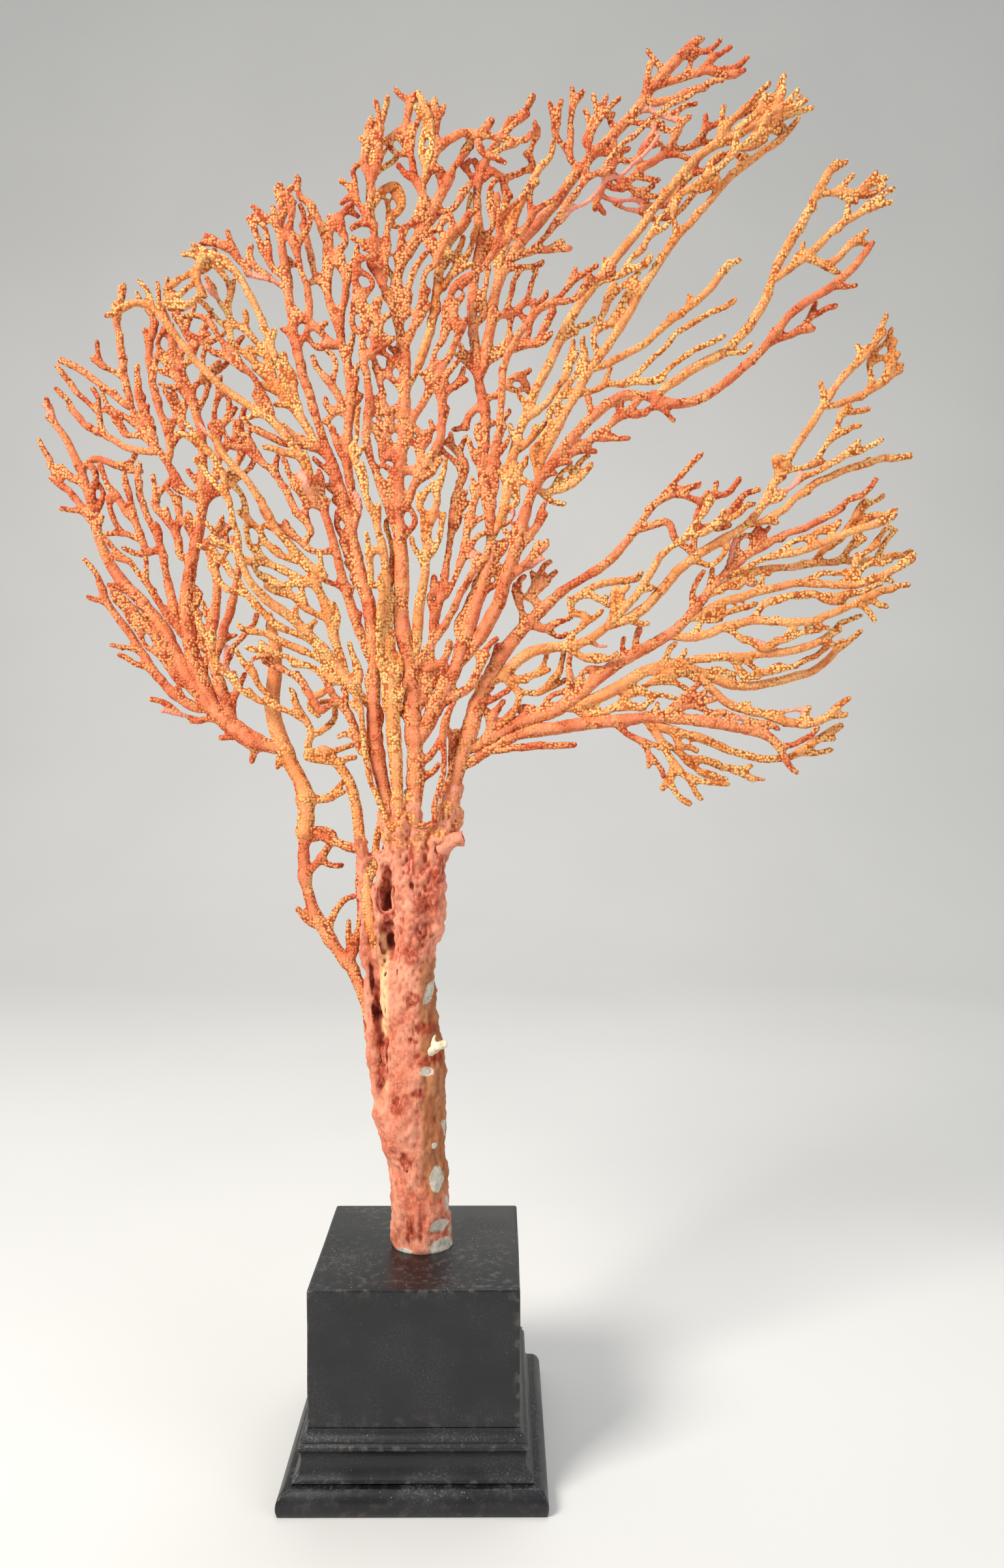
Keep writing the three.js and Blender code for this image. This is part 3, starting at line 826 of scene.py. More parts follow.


# Twigs laid one by one, as [X, Z] routes from the stem they leave to their tip.
HAND_LAID = {
    Region.LEFT_LOBE: [
        [(-28, 198), (-26, 204), (-24, 212), (-25, 226), (-25, 238), (-23, 243)],
        [(-29, 200), (-29, 206), (-29, 213)],
        [(-37, 205), (-36, 214), (-31, 221), (-26, 223)],
        [(-42, 211), (-47, 214), (-50, 218)],
        [(-46, 232), (-41, 237), (-37, 243), (-34, 248), (-39, 250), (-45, 250)],
        [(-39, 237), (-36, 235), (-32, 235)],
        [(-46, 247), (-42, 246), (-38, 248), (-31, 243), (-26, 241)],
        [(-18, 232), (-18, 244), (-16, 254), (-15, 262)],
        [(-45, 281), (-38, 281), (-31, 283), (-27, 284)],
        [(-47, 279), (-35, 277), (-26, 279)],
        [(-43, 262), (-38, 262), (-31, 265)],
        [(-37, 263), (-32, 268), (-29, 272)],
        [(-46, 283), (-44, 290), (-48, 297), (-51, 303)],
        [(-43, 288), (-38, 291), (-34, 295), (-35, 302), (-40, 301)],
        [(-66, 284), (-68, 277)],
        [(-56, 280), (-58, 275)],
        [(-131, 372), (-136, 380), (-141, 386), (-148, 391)],
        [(-134, 395), (-131, 399), (-126, 398), (-120, 395), (-112, 394)],
        [(-110, 361), (-113, 372), (-118, 378), (-122, 385), (-125, 388)],
        [(-97, 360), (-98, 370), (-105, 378), (-107, 382), (-103, 387), (-98, 392)],
        [(-105, 405), (-110, 415), (-113, 426), (-113, 436)],
        [(-87, 378), (-84, 388), (-81, 396), (-81, 406), (-84, 412)],
        [(-91, 420), (-95, 428), (-99, 436), (-99, 445), (-100, 452), (-103, 460)],
        [(-92, 437), (-88, 447), (-84, 455)],
    ],
    Region.FRONT: [
        [(-28, 325), (-27, 319), (-24, 313), (-25, 308)][::-1],
        [(-24, 281), (-26, 290), (-29, 297), (-33, 302), (-36, 306), (-39, 312)],
        [(-26, 287), (-30, 289), (-33, 287)],
        [(-40, 297), (-44, 303), (-47, 309), (-50, 313)],
        [(-31, 309), (-37, 311), (-42, 315), (-46, 316), (-51, 317)],
        [(-36, 309), (-39, 305), (-43, 304), (-45, 299), (-41, 296)],
        [(-34, 316), (-39, 322), (-45, 327), (-52, 330), (-60, 333)],
        [(-32, 312), (-40, 318), (-47, 322), (-54, 325), (-62, 329)],
        [(-34, 328), (-33, 336), (-35, 341)],
        [(-26, 330), (-24, 337)],
        [(-45, 330), (-42, 334)],
        [(-38, 352), (-44, 356), (-49, 362), (-55, 368), (-62, 373)],
        [(-42, 348), (-50, 352), (-56, 355), (-62, 358), (-66, 364)],
        [(-45, 357), (-52, 359), (-58, 362), (-64, 367)],
        [(-36, 362), (-43, 362), (-48, 366), (-54, 370), (-60, 374), (-64, 380)],
        [(-51, 369), (-54, 374)],
        [(-43, 370), (-49, 377), (-52, 383), (-55, 388), (-58, 394), (-57, 400)],
        [(-38, 400), (-44, 405), (-50, 408), (-56, 412), (-62, 418), (-66, 425)],
        [(-42, 403), (-48, 404), (-55, 405), (-60, 408), (-66, 411)],
        [(-50, 400), (-56, 402), (-62, 404)],
        [(-43, 410), (-50, 418), (-55, 424), (-58, 431), (-60, 438), (-61, 446)],
        [(-47, 418), (-50, 426), (-52, 432), (-54, 441)],
        [(-28, 416), (-32, 418), (-36, 418), (-38, 423)],
        [(-29, 416), (-33, 425), (-37, 431), (-40, 434)],
        [(-35, 416), (-38, 414)],
        [(-49, 440), (-51, 448), (-51, 456), (-52, 461), (-51, 467), (-52, 473), (-54, 479), (-55, 485),
         (-56, 489), (-55, 497), (-55, 501), (-53, 504), (-50, 507)],
        [(-44, 455), (-44, 461), (-45, 468), (-47, 472), (-48, 479), (-51, 486), (-53, 491)],
        [(-36, 461), (-38, 467), (-40, 470), (-42, 473), (-43, 479), (-45, 487), (-47, 492)],
        [(-31, 440), (-31, 452), (-33, 457), (-36, 462), (-36, 469), (-36, 476), (-36, 484), (-36, 489),
         (-35, 493), (-32, 495.5), (-28, 497.5), (-24, 495.5)],
        [(-36, 482), (-39, 489), (-40.5, 495.5), (-43, 500), (-46.5, 502), (-48.5, 504), (-48, 510)],
        [(-50, 459), (-46, 455), (-41, 451), (-37.5, 447.5), (-34, 444.5), (-30, 444)],
        [(-31, 454), (-30, 461), (-29, 465), (-30, 472.5), (-33, 475), (-33.5, 479), (-31, 483)],
        [(-40, 470), (-45, 468.5)],
        [(-54, 479), (-50, 476), (-48, 476)],
        [(-32, 444), (-40, 444)],
        [(-41, 451), (-37, 453)],
    ],
    Region.CROWN: [
        [(-12, 250), (-17, 262), (-20, 270), (-22, 280), (-23, 290), (-24, 300), (-28, 308)],
        [(-9, 281), (-11, 288)],
        [(-13, 297), (-14, 305), (-14, 312), (-17, 319)],
        [(-8, 312), (-8, 321)],
        [(-15, 317), (-17, 326), (-16, 336), (-15, 344)],
        [(0, 299), (2, 305), (3, 312), (4, 320), (5, 327), (5, 335), (8, 341), (10, 347)],
        [(4, 324), (9, 330), (12, 336), (14, 341), (17, 346)],
        [(3, 315), (9, 317), (12, 322), (13, 324)],
        [(9, 317), (12, 314)],
        [(8, 300), (16, 305), (21, 308), (24, 315), (24, 320), (20, 325)],
        [(24, 319), (28, 324), (31, 327)],
        [(3, 278), (9, 287), (11, 293)],
        [(1, 270), (5, 273), (8, 276)],
        [(-20, 348), (-20, 355), (-19, 362), (-14, 362)],
        [(-9, 370), (-12, 378), (-15, 387), (-18, 395), (-21, 403), (-21, 414), (-20, 422), (-21, 432),
         (-23, 443), (-22, 452), (-24, 462)],
        [(-13, 400), (-11, 402)],
        [(-13, 408), (-11, 411)],
        [(-12, 416), (-10, 420)],
        [(-17, 372), (-16, 381)],
        [(-15, 344), (-16, 352)],
        [(0, 394), (1, 402), (3, 410)],
        [(-6, 411), (-1, 411), (1, 406)],
        [(-5, 411), (0, 419), (4, 424), (6, 431)],
        [(3, 433), (8, 437), (12, 438)],
        [(3, 376), (0, 380), (0, 385)],
        [(4, 360), (8, 367), (10, 377)],
        [(10, 343), (14, 350), (17, 361), (19, 370), (19, 377)],
        [(16, 357), (20, 363), (23, 368), (28, 370)],
        [(19, 370), (24, 375), (28, 377)],
        [(16, 345), (20, 351), (26, 359), (28, 363)],
        [(36, 388), (40, 394), (43, 397)],
        [(37, 401), (43, 405), (46, 409), (47, 412)],
        [(26, 404), (23, 407), (23, 412)],
        [(24, 420), (19, 415), (19, 411)],
        [(24, 419), (27, 423), (31, 424)],
        [(33, 414), (36, 418)],
        [(40, 414), (46, 417), (51, 421), (57, 430)],
        [(34, 428), (38, 432), (42, 431), (44, 426)],
        [(-22, 440), (-22.5, 447), (-21, 452), (-19.5, 457), (-22.5, 461.5), (-21.5, 466.5)],
        [(-26.5, 450), (-26.5, 455), (-26, 461.5), (-23.5, 465), (-25.5, 469), (-25.5, 474), (-24, 478),
         (-19, 479)],
        [(-18, 440), (-17.5, 448), (-16, 453.5), (-11.5, 456.5)],
        [(-17, 455), (-17.5, 462)],
        [(-5, 440), (-7, 447), (-9, 454), (-11, 460), (-14, 467.5), (-16, 472), (-17.5, 479),
         (-18, 487), (-17.5, 492), (-21, 494), (-20.5, 498.5), (-19, 504.5), (-19, 509.5), (-21.5, 515),
         (-22, 518.5), (-20, 522), (-20.5, 528), (-19, 533)],
        [(-9, 455), (-8, 463), (-8, 473), (-8.5, 479), (-7, 486), (-7, 490.5), (0, 493.5), (1.5, 498.5),
         (3.5, 501.5), (0, 506), (3, 509.5), (5, 515), (7, 521), (7, 526), (7, 532), (5, 537.5),
         (2, 540), (-1, 543.5), (-4, 540), (-4.5, 532.5), (-5.5, 529), (-8.5, 529), (-10.5, 526.5),
         (-15, 524.5)],
        [(-18, 510.5), (-16.5, 518), (-15, 524.5), (-15, 532.5)],
        [(0, 507), (-2.5, 514), (-3, 519), (-3, 525), (-2.5, 528), (0, 534)],
        [(-8, 529), (-6, 523), (-3, 520.5)],
        [(3.5, 514), (1, 520.5), (2, 526), (2, 530.5)],
        [(-2, 510.5), (-6, 512), (-8, 515.5)],
        [(7, 532), (9, 536), (10.5, 539)],
        [(-21.5, 495.5), (-25, 502), (-25, 508), (-26.5, 514), (-22, 517)],
        [(-25.5, 503.5), (-28.5, 507.5), (-31, 509.5)],
        [(-26, 504), (-31, 500.5)],
        [(-19, 499), (-16, 504.5), (-13, 506.5), (-10, 507.5), (-10, 504.5), (-6.5, 499.5),
         (-10.5, 495.5), (-12, 492), (-8, 491)],
        [(-12, 494), (-12.5, 501)],
        [(-13.5, 470.5), (-13.5, 479), (-13, 487.5), (-11.5, 494)],
        [(-18, 485), (-22, 484.5), (-26.5, 486.5)],
        [(-17.5, 492), (-22, 492.5), (-27, 490.5)],
        [(-18, 481.5), (-22, 482.5)],
        [(7, 521), (12.5, 525), (16, 527.5), (20.5, 528.5), (23.5, 527.5), (23.5, 524.5), (26, 520.5)],
        [(23.5, 527.5), (27.5, 530.5), (29.5, 533)],
        [(5, 514.5), (9, 514)],
        [(26, 509), (29.5, 513.5)],
        [(34, 510.5), (34, 506.5), (36.5, 503)],
        [(35, 510.5), (39.5, 512), (42.5, 514), (45.5, 514)],
        [(45.5, 517), (42.5, 520.5)],
        [(-5, 440), (-4, 447), (-1, 456), (1, 464), (3, 474), (7, 476), (9, 483), (12, 488), (17, 492),
         (20, 497)],
        [(-5, 455), (-5, 464), (-2, 474), (3, 481)],
        [(8, 457), (7, 466), (7, 474)],
        [(10, 466), (14, 474), (18, 478), (21, 484), (23, 492)],
        [(15, 476), (16, 482), (18, 487)],
        [(9, 497), (15, 499), (17, 506)],
        [(6, 252), (6, 260), (8, 268), (10, 277), (9, 288), (12, 298)],
        [(-15, 398), (-15, 405), (-12, 413), (-14, 420), (-16, 425)],
        [(-6, 378), (0, 393), (6, 402), (9, 410), (9, 420), (7, 431), (13, 441), (17, 450), (19, 455)],
        [(5, 316), (6, 330), (8, 342), (11, 355), (13, 373), (14, 383), (19, 396), (12, 405), (9, 406)],
        [(7, 327), (12, 335), (17, 345), (21, 352)],
        [(17, 358), (20, 372), (23, 384), (25, 389)],
        [(28, 388), (30, 400), (32, 412), (33, 425), (34, 437), (40, 448), (50, 460), (60, 462)],
        [(50, 385), (60, 388), (64, 391), (69, 397)],
        [(-20, 510), (-22, 518), (-21, 528), (-19, 534)],
        [(-20, 497), (-14, 505), (-9, 508), (-6, 500), (-10, 495)],
        [(8, 523), (14, 527), (20, 529), (24, 527), (29, 533)],
        [(-1, 508), (-2, 515), (-5, 530), (-4, 537), (-1, 544)],
        [(98, 552), (91, 561)],
        [(95, 547), (105, 550), (115, 553), (123, 551), (130, 553)],
        [(112, 552), (118, 559)],
        [(92, 540), (100, 541), (108, 545), (115, 546)],
        [(79, 528), (76, 533), (78, 536)],
        [(70, 520), (66, 525), (70, 531), (75, 538)],
        [(60, 518), (61, 530)],
        [(78, 525), (78, 515), (72, 505), (70, 498)],
        [(73, 520), (84, 522)],
        [(83, 509), (90, 515), (98, 520), (103, 528), (105, 533)],
        [(119, 525), (125, 533), (133, 541), (140, 548)],
        [(132, 530), (140, 538), (145, 546)],
    ],
    Region.RIGHT: [
        [(12, 268), (13, 279), (13, 286), (11, 291)],
        [(13, 285), (15, 290)],
        [(28, 288), (29, 296), (32, 299)],
        [(30, 290), (36, 296), (39, 299), (42, 298)],
        [(36, 351), (43, 357), (46, 362), (48, 366)],
        [(38, 359), (46, 370), (51, 377)],
        [(161, 504), (168, 505), (176, 505), (183, 510), (187, 511)],
        [(177, 506), (183, 513)],
        [(168, 506), (174, 512)],
        [(157, 478), (165, 477), (170, 481), (175, 486), (180, 484)],
        [(60, 400), (70, 407), (84, 407)],
        [(74, 407), (75, 411), (82, 416), (91, 417)],
        [(44, 345), (50, 353)],
        [(43, 342), (52, 350)],
        [(45, 333), (50, 331), (56, 334)],
        [(33, 311), (43, 310)],
        [(34, 310), (40, 305), (38, 297), (33, 292)],
        [(91, 378), (98, 383), (108, 388), (112, 388)],
        [(89, 370), (97, 374), (101, 374), (102, 368), (107, 364), (111, 360)],
        [(111, 361), (111, 370), (112, 377), (118, 384), (120, 390)],
        [(118, 384), (124, 385), (129, 391)],
        [(112, 371), (117, 372), (125, 378), (130, 384), (137, 387)],
        [(125, 378), (135, 381)],
        [(117, 372), (122, 371), (125, 373)],
        [(144, 394), (143, 400), (146, 400)],
        [(60, 328), (66, 332), (67, 337), (61, 337), (62, 342), (70, 348), (79, 350), (88, 351)],
        [(101, 270), (104, 264), (109, 260)],
        [(102, 274), (98, 266)],
        [(109, 269), (114, 262)],
        [(148, 277), (153, 273)],
        [(155, 280), (167, 282)],
    ],
}


# The fan's edge seen from the front, clockwise from its lower left, with its one wide gap.
OUTLINE = [
    (-50, 262), (-67, 272), (-88, 288), (-103, 297), (-122, 322), (-137, 350), (-132, 362), (-148, 386),
    (-153, 402), (-149, 425), (-143, 440), (-127, 445), (-121, 466), (-108, 470), (-97, 470), (-94, 480),
    (-84, 488), (-74, 492), (-70, 484), (-66, 498), (-50, 512), (-38, 499), (-26, 516), (-18, 538),
    (-2, 548), (12, 543), (24, 531), (38, 539), (55, 546), (72, 543), (84, 541), (95, 565), (110, 570),
    (131, 557), (112, 543), (106, 532), (118, 536), (145, 552), (158, 536), (135, 521), (114, 500),
    (100, 476), (94, 463), (104, 463), (123, 481), (141, 472), (150, 495), (165, 520), (190, 506),
    (177, 495), (184, 478), (165, 459), (145, 439), (130, 424), (104, 414), (90, 418), (80, 410),
    (68, 400), (60, 386), (52, 372), (50, 360), (56, 352), (70, 356), (88, 381), (108, 392), (124, 376),
    (138, 384), (150, 410), (165, 436), (188, 456), (195, 430), (176, 412), (197, 400), (190, 372),
    (199, 360), (198, 350), (176, 328), (173, 300), (165, 280), (142, 270), (126, 270), (112, 256),
    (96, 272), (85, 284), (62, 281), (36, 272), (20, 258),
]


def within_outline(spot: np.ndarray) -> bool:
    """Whether a drawn place lies inside the fan's edge.

    Args:
        spot: a drawn place.

    Returns:
        Whether it is inside the outline.
    """
    a = np.array(OUTLINE, float)
    b = np.roll(a, -1, axis=0)
    crosses = (a[:, 1] > spot[1]) != (b[:, 1] > spot[1])
    rise = np.where(b[:, 1] == a[:, 1], 1e-9, b[:, 1] - a[:, 1])
    at = a[:, 0] + (spot[1] - a[:, 1]) / rise * (b[:, 0] - a[:, 0])
    return bool((crosses & (spot[0] < at)).sum() % 2)


class Crowd:
    """Every point of every branch laid so far, so that new growth keeps its distance."""

    def __init__(self, capacity: int = 80000) -> None:
        """Makes room for the points.

        Args:
            capacity: the most places it can hold.
        """
        self.drawn = np.zeros((capacity, 2))
        self.depth = np.zeros(capacity)
        self.owner = np.zeros(capacity, int)
        self.count = 0

    def add(self, drawn: np.ndarray, depth: float, owner: int) -> None:
        """Lays one point of a branch.

        Args:
            drawn: the drawn place.
            depth: its depth.
            owner: the number of its branch.
        """
        self.drawn[self.count] = drawn
        self.depth[self.count] = depth
        self.owner[self.count] = owner
        self.count += 1

    def around(
        self, drawn: np.ndarray, depth: float, reach: float, layer: float
    ) -> tuple[np.ndarray, np.ndarray, np.ndarray]:
        """Offsets, distances and owners of the points near a place, in the same layer of the fan.

        Args:
            drawn: the drawn place.
            depth: its depth.
            reach: how far to look across.
            layer: how far to look in depth.

        Returns:
            Offsets, distances and owners.
        """
        offsets = self.drawn[: self.count] - drawn
        close = (np.abs(offsets[:, 0]) < reach) & (np.abs(offsets[:, 1]) < reach)
        close &= np.abs(self.depth[: self.count] - depth) < layer
        offsets = offsets[close]
        return offsets, np.hypot(offsets[:, 0], offsets[:, 1]), self.owner[: self.count][close]


@dataclass
class Shoot:
    """A twig while it grows: its drawn route with depths, and how it is heading."""

    owner: int
    host: int
    piece: str
    route: list[tuple[float, float, float]]
    heading: np.ndarray
    reach: float
    lean: float
    foot_radius: float
    rank: int
    strays: float
    grown: float = 0.0
    since_fork: float = 0.0
    fork_after: float = 9.0
    side: int = 1
    sway: float = 0.0


@dataclass
class TwigGrower:
    """Fills the room between stems with twigs that fork off and then run beside their neighbours."""

    step: float = 1.5
    sight: float = 5.6
    layer: float = 7.5
    halt: float = 2.3
    room: float = 2.7
    probe: float = 6.5
    corridor: tuple[float, float] = (11.0, 4.6)
    fork_angle: float = math.radians(33)
    clearing: float = 8.0
    field_width: float = 16.0
    least_length: float = 2.6
    lowest: float = 285.0

    def __post_init__(self) -> None:
        """Starts the seeded draws and the empty crowd."""
        self.draw = np.random.RandomState(SEED)
        self.crowd = Crowd()
        self.sightlines = Sightlines()
        self.branches: list[Branch] = []
        self.guides: list[np.ndarray] = []

    def lay(self, branch: Branch) -> int:
        """Adds a finished branch to the fan and the crowd, and returns its number.

        Args:
            branch: the branch to add.

        Returns:
            Its number.
        """
        number = len(self.branches)
        self.branches.append(branch)
        drawn = self.sightlines.draw(branch.points)
        runs = run_lengths(drawn)
        for run in np.arange(0.0, runs[-1] + 0.1, self.step):
            spot = np.array([np.interp(run, runs, drawn[:, 0]), np.interp(run, runs, drawn[:, 1])])
            self.crowd.add(spot, float(np.interp(run, runs, branch.points[:, 1])), number)
        return number

    def note_guides(self) -> None:
        """Keeps the stems' directions, which steer the twigs, and their places, which bound them."""
        rows = []
        for branch in self.branches:
            drawn = self.sightlines.draw(branch.points)
            for k in range(1, len(drawn) - 1, 2):
                heading = unit(drawn[k + 1] - drawn[k - 1])
                rows.append([*drawn[k], branch.points[k, 1], *heading])
        self.guides = np.array(rows)

    def flow(self, here: np.ndarray, depth: float) -> tuple[np.ndarray, float]:
        """The stems' common direction around a place, and the distance to the nearest of them.

        Args:
            here: the drawn place.
            depth: its depth.

        Returns:
            The direction, and the distance to the nearest stem.
        """
        offsets = self.guides[:, :2] - here
        away = np.hypot(offsets[:, 0], offsets[:, 1])
        same = np.abs(self.guides[:, 2] - depth)
        weight = np.exp(-((away / self.field_width) ** 2) - (same / 8.0) ** 2) + 1e-12
        near = away + np.where(same < 11.0, 0.0, 60.0)
        return unit(weight @ self.guides[:, 3:5]), float(near.min())

    def sprout(
        self,
        number: int,
        here: np.ndarray,
        depth: float,
        heading: np.ndarray,
        side: int,
        radius: float,
        rank: int,
    ) -> Shoot | None:
        """A new shoot from a branch, where there is room for one beside it.

        Args:
            number: the number of the bearing branch.
            here: the drawn place of the fork.
            depth: its depth.
            heading: the bearing branch's direction.
            side: 1 or -1, the side it leaves on.
            radius: the bearing branch's radius.
            rank: how many forks it is from a stem.

        Returns:
            The shoot, or None where there is no room.
        """
        aim = turned(heading, side * self.fork_angle * self.draw.uniform(0.75, 1.25))
        target = here + aim * self.probe
        if self.crowded(target, depth, number):
            return None
        strays = self.draw.uniform(8.0, 16.0)
        if self.flow(target, depth)[1] > strays or not within_outline(target):
            return None
        kind = self.draw.uniform()
        reach = self.draw.uniform(4, 8) if kind < 0.14 else self.draw.uniform(9, 26)
        if kind > 0.34:
            along, beside = self.corridor
            way = turned(heading, side * math.pi / 2)
            if not self.crowded(here + heading * along + way * beside, depth, number):
                reach = self.draw.uniform(25, 100)
        owner = len(self.branches)
        piece = self.branches[number].piece
        warmth = float(np.clip(self.branches[number].warmth + self.draw.uniform(-0.12, 0.1), 0, 1))
        self.branches.append(Branch(piece, np.zeros((0, 3)), np.zeros(0), warmth))
        shoot = Shoot(
            owner=owner,
            host=number,
            piece=piece,
            route=[(float(here[0]), float(here[1]), float(depth))],
            heading=aim,
            reach=reach,
            lean=self.draw.normal(0.0, 0.09),
            foot_radius=min(1.6, max(1.25, radius * 0.72)),
            rank=rank,
            strays=strays,
            fork_after=self.draw.uniform(6.0, 13.0),
            side=-side,
        )
        self.crowd.add(here, depth, owner)
        return shoot

    def crowded(self, target: np.ndarray, depth: float, number: int) -> bool:
        """Whether another branch than the given one stands too near a place."""
        _, distances, owners = self.crowd.around(target, depth, self.room, self.layer)
        return bool((distances[owners != number] < self.room).any())

    def advance(self, shoot: Shoot) -> bool:
        """Grows a shoot by one step, and says whether it still lives.

        Args:
            shoot: the shoot to grow.

        Returns:
            Whether it still lives.
        """
        *here, depth = shoot.route[-1]
        here = np.array(here)
        offsets, distances, owners = self.crowd.around(here, depth, self.sight, self.layer)
        others = owners != shoot.owner
        if shoot.grown < self.clearing:
            others &= owners != shoot.host
        offsets, distances = offsets[others], np.maximum(distances[others], 0.05)
        ahead = offsets @ shoot.heading > 0.3 * distances
        if (distances[ahead] < self.halt).any():
            return False
        near = distances < self.sight
        reach = distances[near, None]
        push = -((offsets[near] / reach) * ((self.sight - reach) / self.sight)).sum(0)
        push = push / max(1.0, float(np.linalg.norm(push)))
        flow, away = self.flow(here, depth)
        if away > shoot.strays or not within_outline(here):
            return False
        shoot.sway = 0.75 * shoot.sway + self.draw.normal(0.0, 0.13)
        shoot.heading = unit(0.72 * shoot.heading + 0.24 * flow + 0.24 * push)
        shoot.heading = turned(shoot.heading, shoot.sway * 0.5)
        there = here + shoot.heading * self.step
        depth += shoot.lean * self.step
        shoot.route.append((float(there[0]), float(there[1]), float(depth)))
        self.crowd.add(there, depth, shoot.owner)
        shoot.grown += self.step
        shoot.since_fork += self.step
        return shoot.grown < shoot.reach

    def grow(self) -> None:
        """Lets shoots start from every branch, grows them all together, and turns them into branches."""
        self.note_guides()
        shoots = self.first_shoots()
        finished: list[Shoot] = []
        while shoots:
            alive = []
            for shoot in shoots:
                if not self.advance(shoot):
                    finished.append(shoot)
                    continue
                alive.append(shoot)
                if shoot.since_fork > shoot.fork_after and shoot.rank < 3:
                    child = self.fork(shoot)
                    if child is not None:
                        alive.append(child)
            shoots = alive
        for shoot in finished:
            self.finish(shoot)

    def fork(self, shoot: Shoot) -> Shoot | None:
        """A side shoot from a growing one, on the side whose turn it is, or on the other.

        Args:
            shoot: the shoot that forks.

        Returns:
            The new shoot, or None where there is no room.
        """
        here = np.array(shoot.route[-1][:2])
        depth = shoot.route[-1][2]
        for side in (shoot.side, -shoot.side):
            child = self.sprout(
                shoot.owner, here, depth, shoot.heading, side, shoot.foot_radius, shoot.rank + 1
            )
            if child is not None:
                shoot.since_fork = 0.0
                shoot.fork_after = self.draw.uniform(6.0, 12.0)
                shoot.side = -side
                shoot.heading = turned(shoot.heading, -side * math.radians(9))
                self.branches[shoot.owner].forks.append(self.placed(shoot.route[-1]))
                return child
        shoot.since_fork -= 2.5
        return None

    def placed(self, spot: tuple[float, float, float]) -> np.ndarray:
        """A drawn spot with its depth, as a point."""
        return self.sightlines.place(np.array([spot[:2]]), np.array([spot[2]]))[0]

    def first_shoots(self) -> list[Shoot]:
        """Shoots along both sides of every branch that is already laid.

        Returns:
            The shoots.
        """
        sites = []
        for number, branch in enumerate(self.branches):
            drawn = self.sightlines.draw(branch.points)
            runs = run_lengths(drawn)
            for side in (-1, 1):
                run = self.draw.uniform(3.0, 9.0)
                while run < runs[-1] - 2.0:
                    sites.append((number, side, run))
                    run += self.draw.uniform(3.2, 5.8)
        order = self.draw.permutation(len(sites))
        shoots = []
        for number, side, run in (sites[k] for k in order):
            branch = self.branches[number]
            drawn = self.sightlines.draw(branch.points)
            runs = run_lengths(drawn)
            here = np.array([np.interp(run, runs, drawn[:, 0]), np.interp(run, runs, drawn[:, 1])])
            after = np.array([np.interp(run + 2, runs, drawn[:, 0]), np.interp(run + 2, runs, drawn[:, 1])])
            before = np.array([np.interp(run - 2, runs, drawn[:, 0]), np.interp(run - 2, runs, drawn[:, 1])])
            depth = float(np.interp(run, runs, branch.points[:, 1]))
            radius = float(np.interp(run, runs, branch.radii))
            if here[1] < self.lowest:
                continue
            shoot = self.sprout(number, here, depth, unit(after - before), side, radius, 1)
            if shoot is not None:
                branch.forks.append(self.placed((*here, depth)))
                shoots.append(shoot)
        return shoots

    def finish(self, shoot: Shoot) -> None:
        """Gives a grown shoot's branch its line and radii.

        Args:
            shoot: the grown shoot.
        """
        if shoot.grown < self.least_length:
            return
        route = np.array(shoot.route)
        points = self.sightlines.place(route[:, :2], route[:, 2])
        branch = self.branches[shoot.owner]
        share = np.linspace(0.0, 1.0, len(points))
        tip = self.draw.uniform(1.12, 1.3)
        branch.points = points
        branch.radii = shoot.foot_radius + (tip - shoot.foot_radius) * share**0.7
        if self.draw.uniform() < 0.035:
            branch.blush = 1.0
            branch.radii *= 0.75


# ---------------------------------------------------------------- skins


def tube(points: np.ndarray, radii: np.ndarray, sides: int = 8) -> tuple[np.ndarray, list]:
    """A closed tube with rounded ends.

    Args:
        points: the middle line, (N, 3).
        radii: the radius at each point.
        sides: corners in each ring.

    Returns:
        Vertex positions and faces.
    """
    tangents = np.gradient(points, axis=0)
    tangents /= np.maximum(np.linalg.norm(tangents, axis=1), 1e-9)[:, None]
    centres = [points[0] - tangents[0] * radii[0] * 0.75, points[0] - tangents[0] * radii[0] * 0.4, *points]
    centres += [points[-1] + tangents[-1] * radii[-1] * 0.4, points[-1] + tangents[-1] * radii[-1] * 0.75]
    sizes = [radii[0] * 0.5, radii[0] * 0.88, *radii, radii[-1] * 0.88, radii[-1] * 0.5]
    ways = np.vstack([tangents[:1], tangents[:1], tangents, tangents[-1:], tangents[-1:]])
    across = unit(np.cross(ways[0], [0.2, 0.9, 0.35]))
    angles = np.arange(sides) * 2 * math.pi / sides
    rings = []
    for centre, size, way in zip(centres, sizes, ways):
        across = unit(across - way * float(across @ way))
        up = np.cross(way, across)
        rings.append(centre + size * (np.outer(np.cos(angles), across) + np.outer(np.sin(angles), up)))
    ends = [points[0] - tangents[0] * radii[0]], [points[-1] + tangents[-1] * radii[-1]]
    corners = np.vstack([*rings, *ends])
    faces = []
    last = len(rings) - 1
    for s in range(sides):
        after = (s + 1) % sides
        for k in range(last):
            low, high = k * sides, (k + 1) * sides
            faces.append((low + s, low + after, high + after, high + s))
        faces.append((len(corners) - 2, after, s))
        faces.append((len(corners) - 1, last * sides + s, last * sides + after))
    return corners, faces


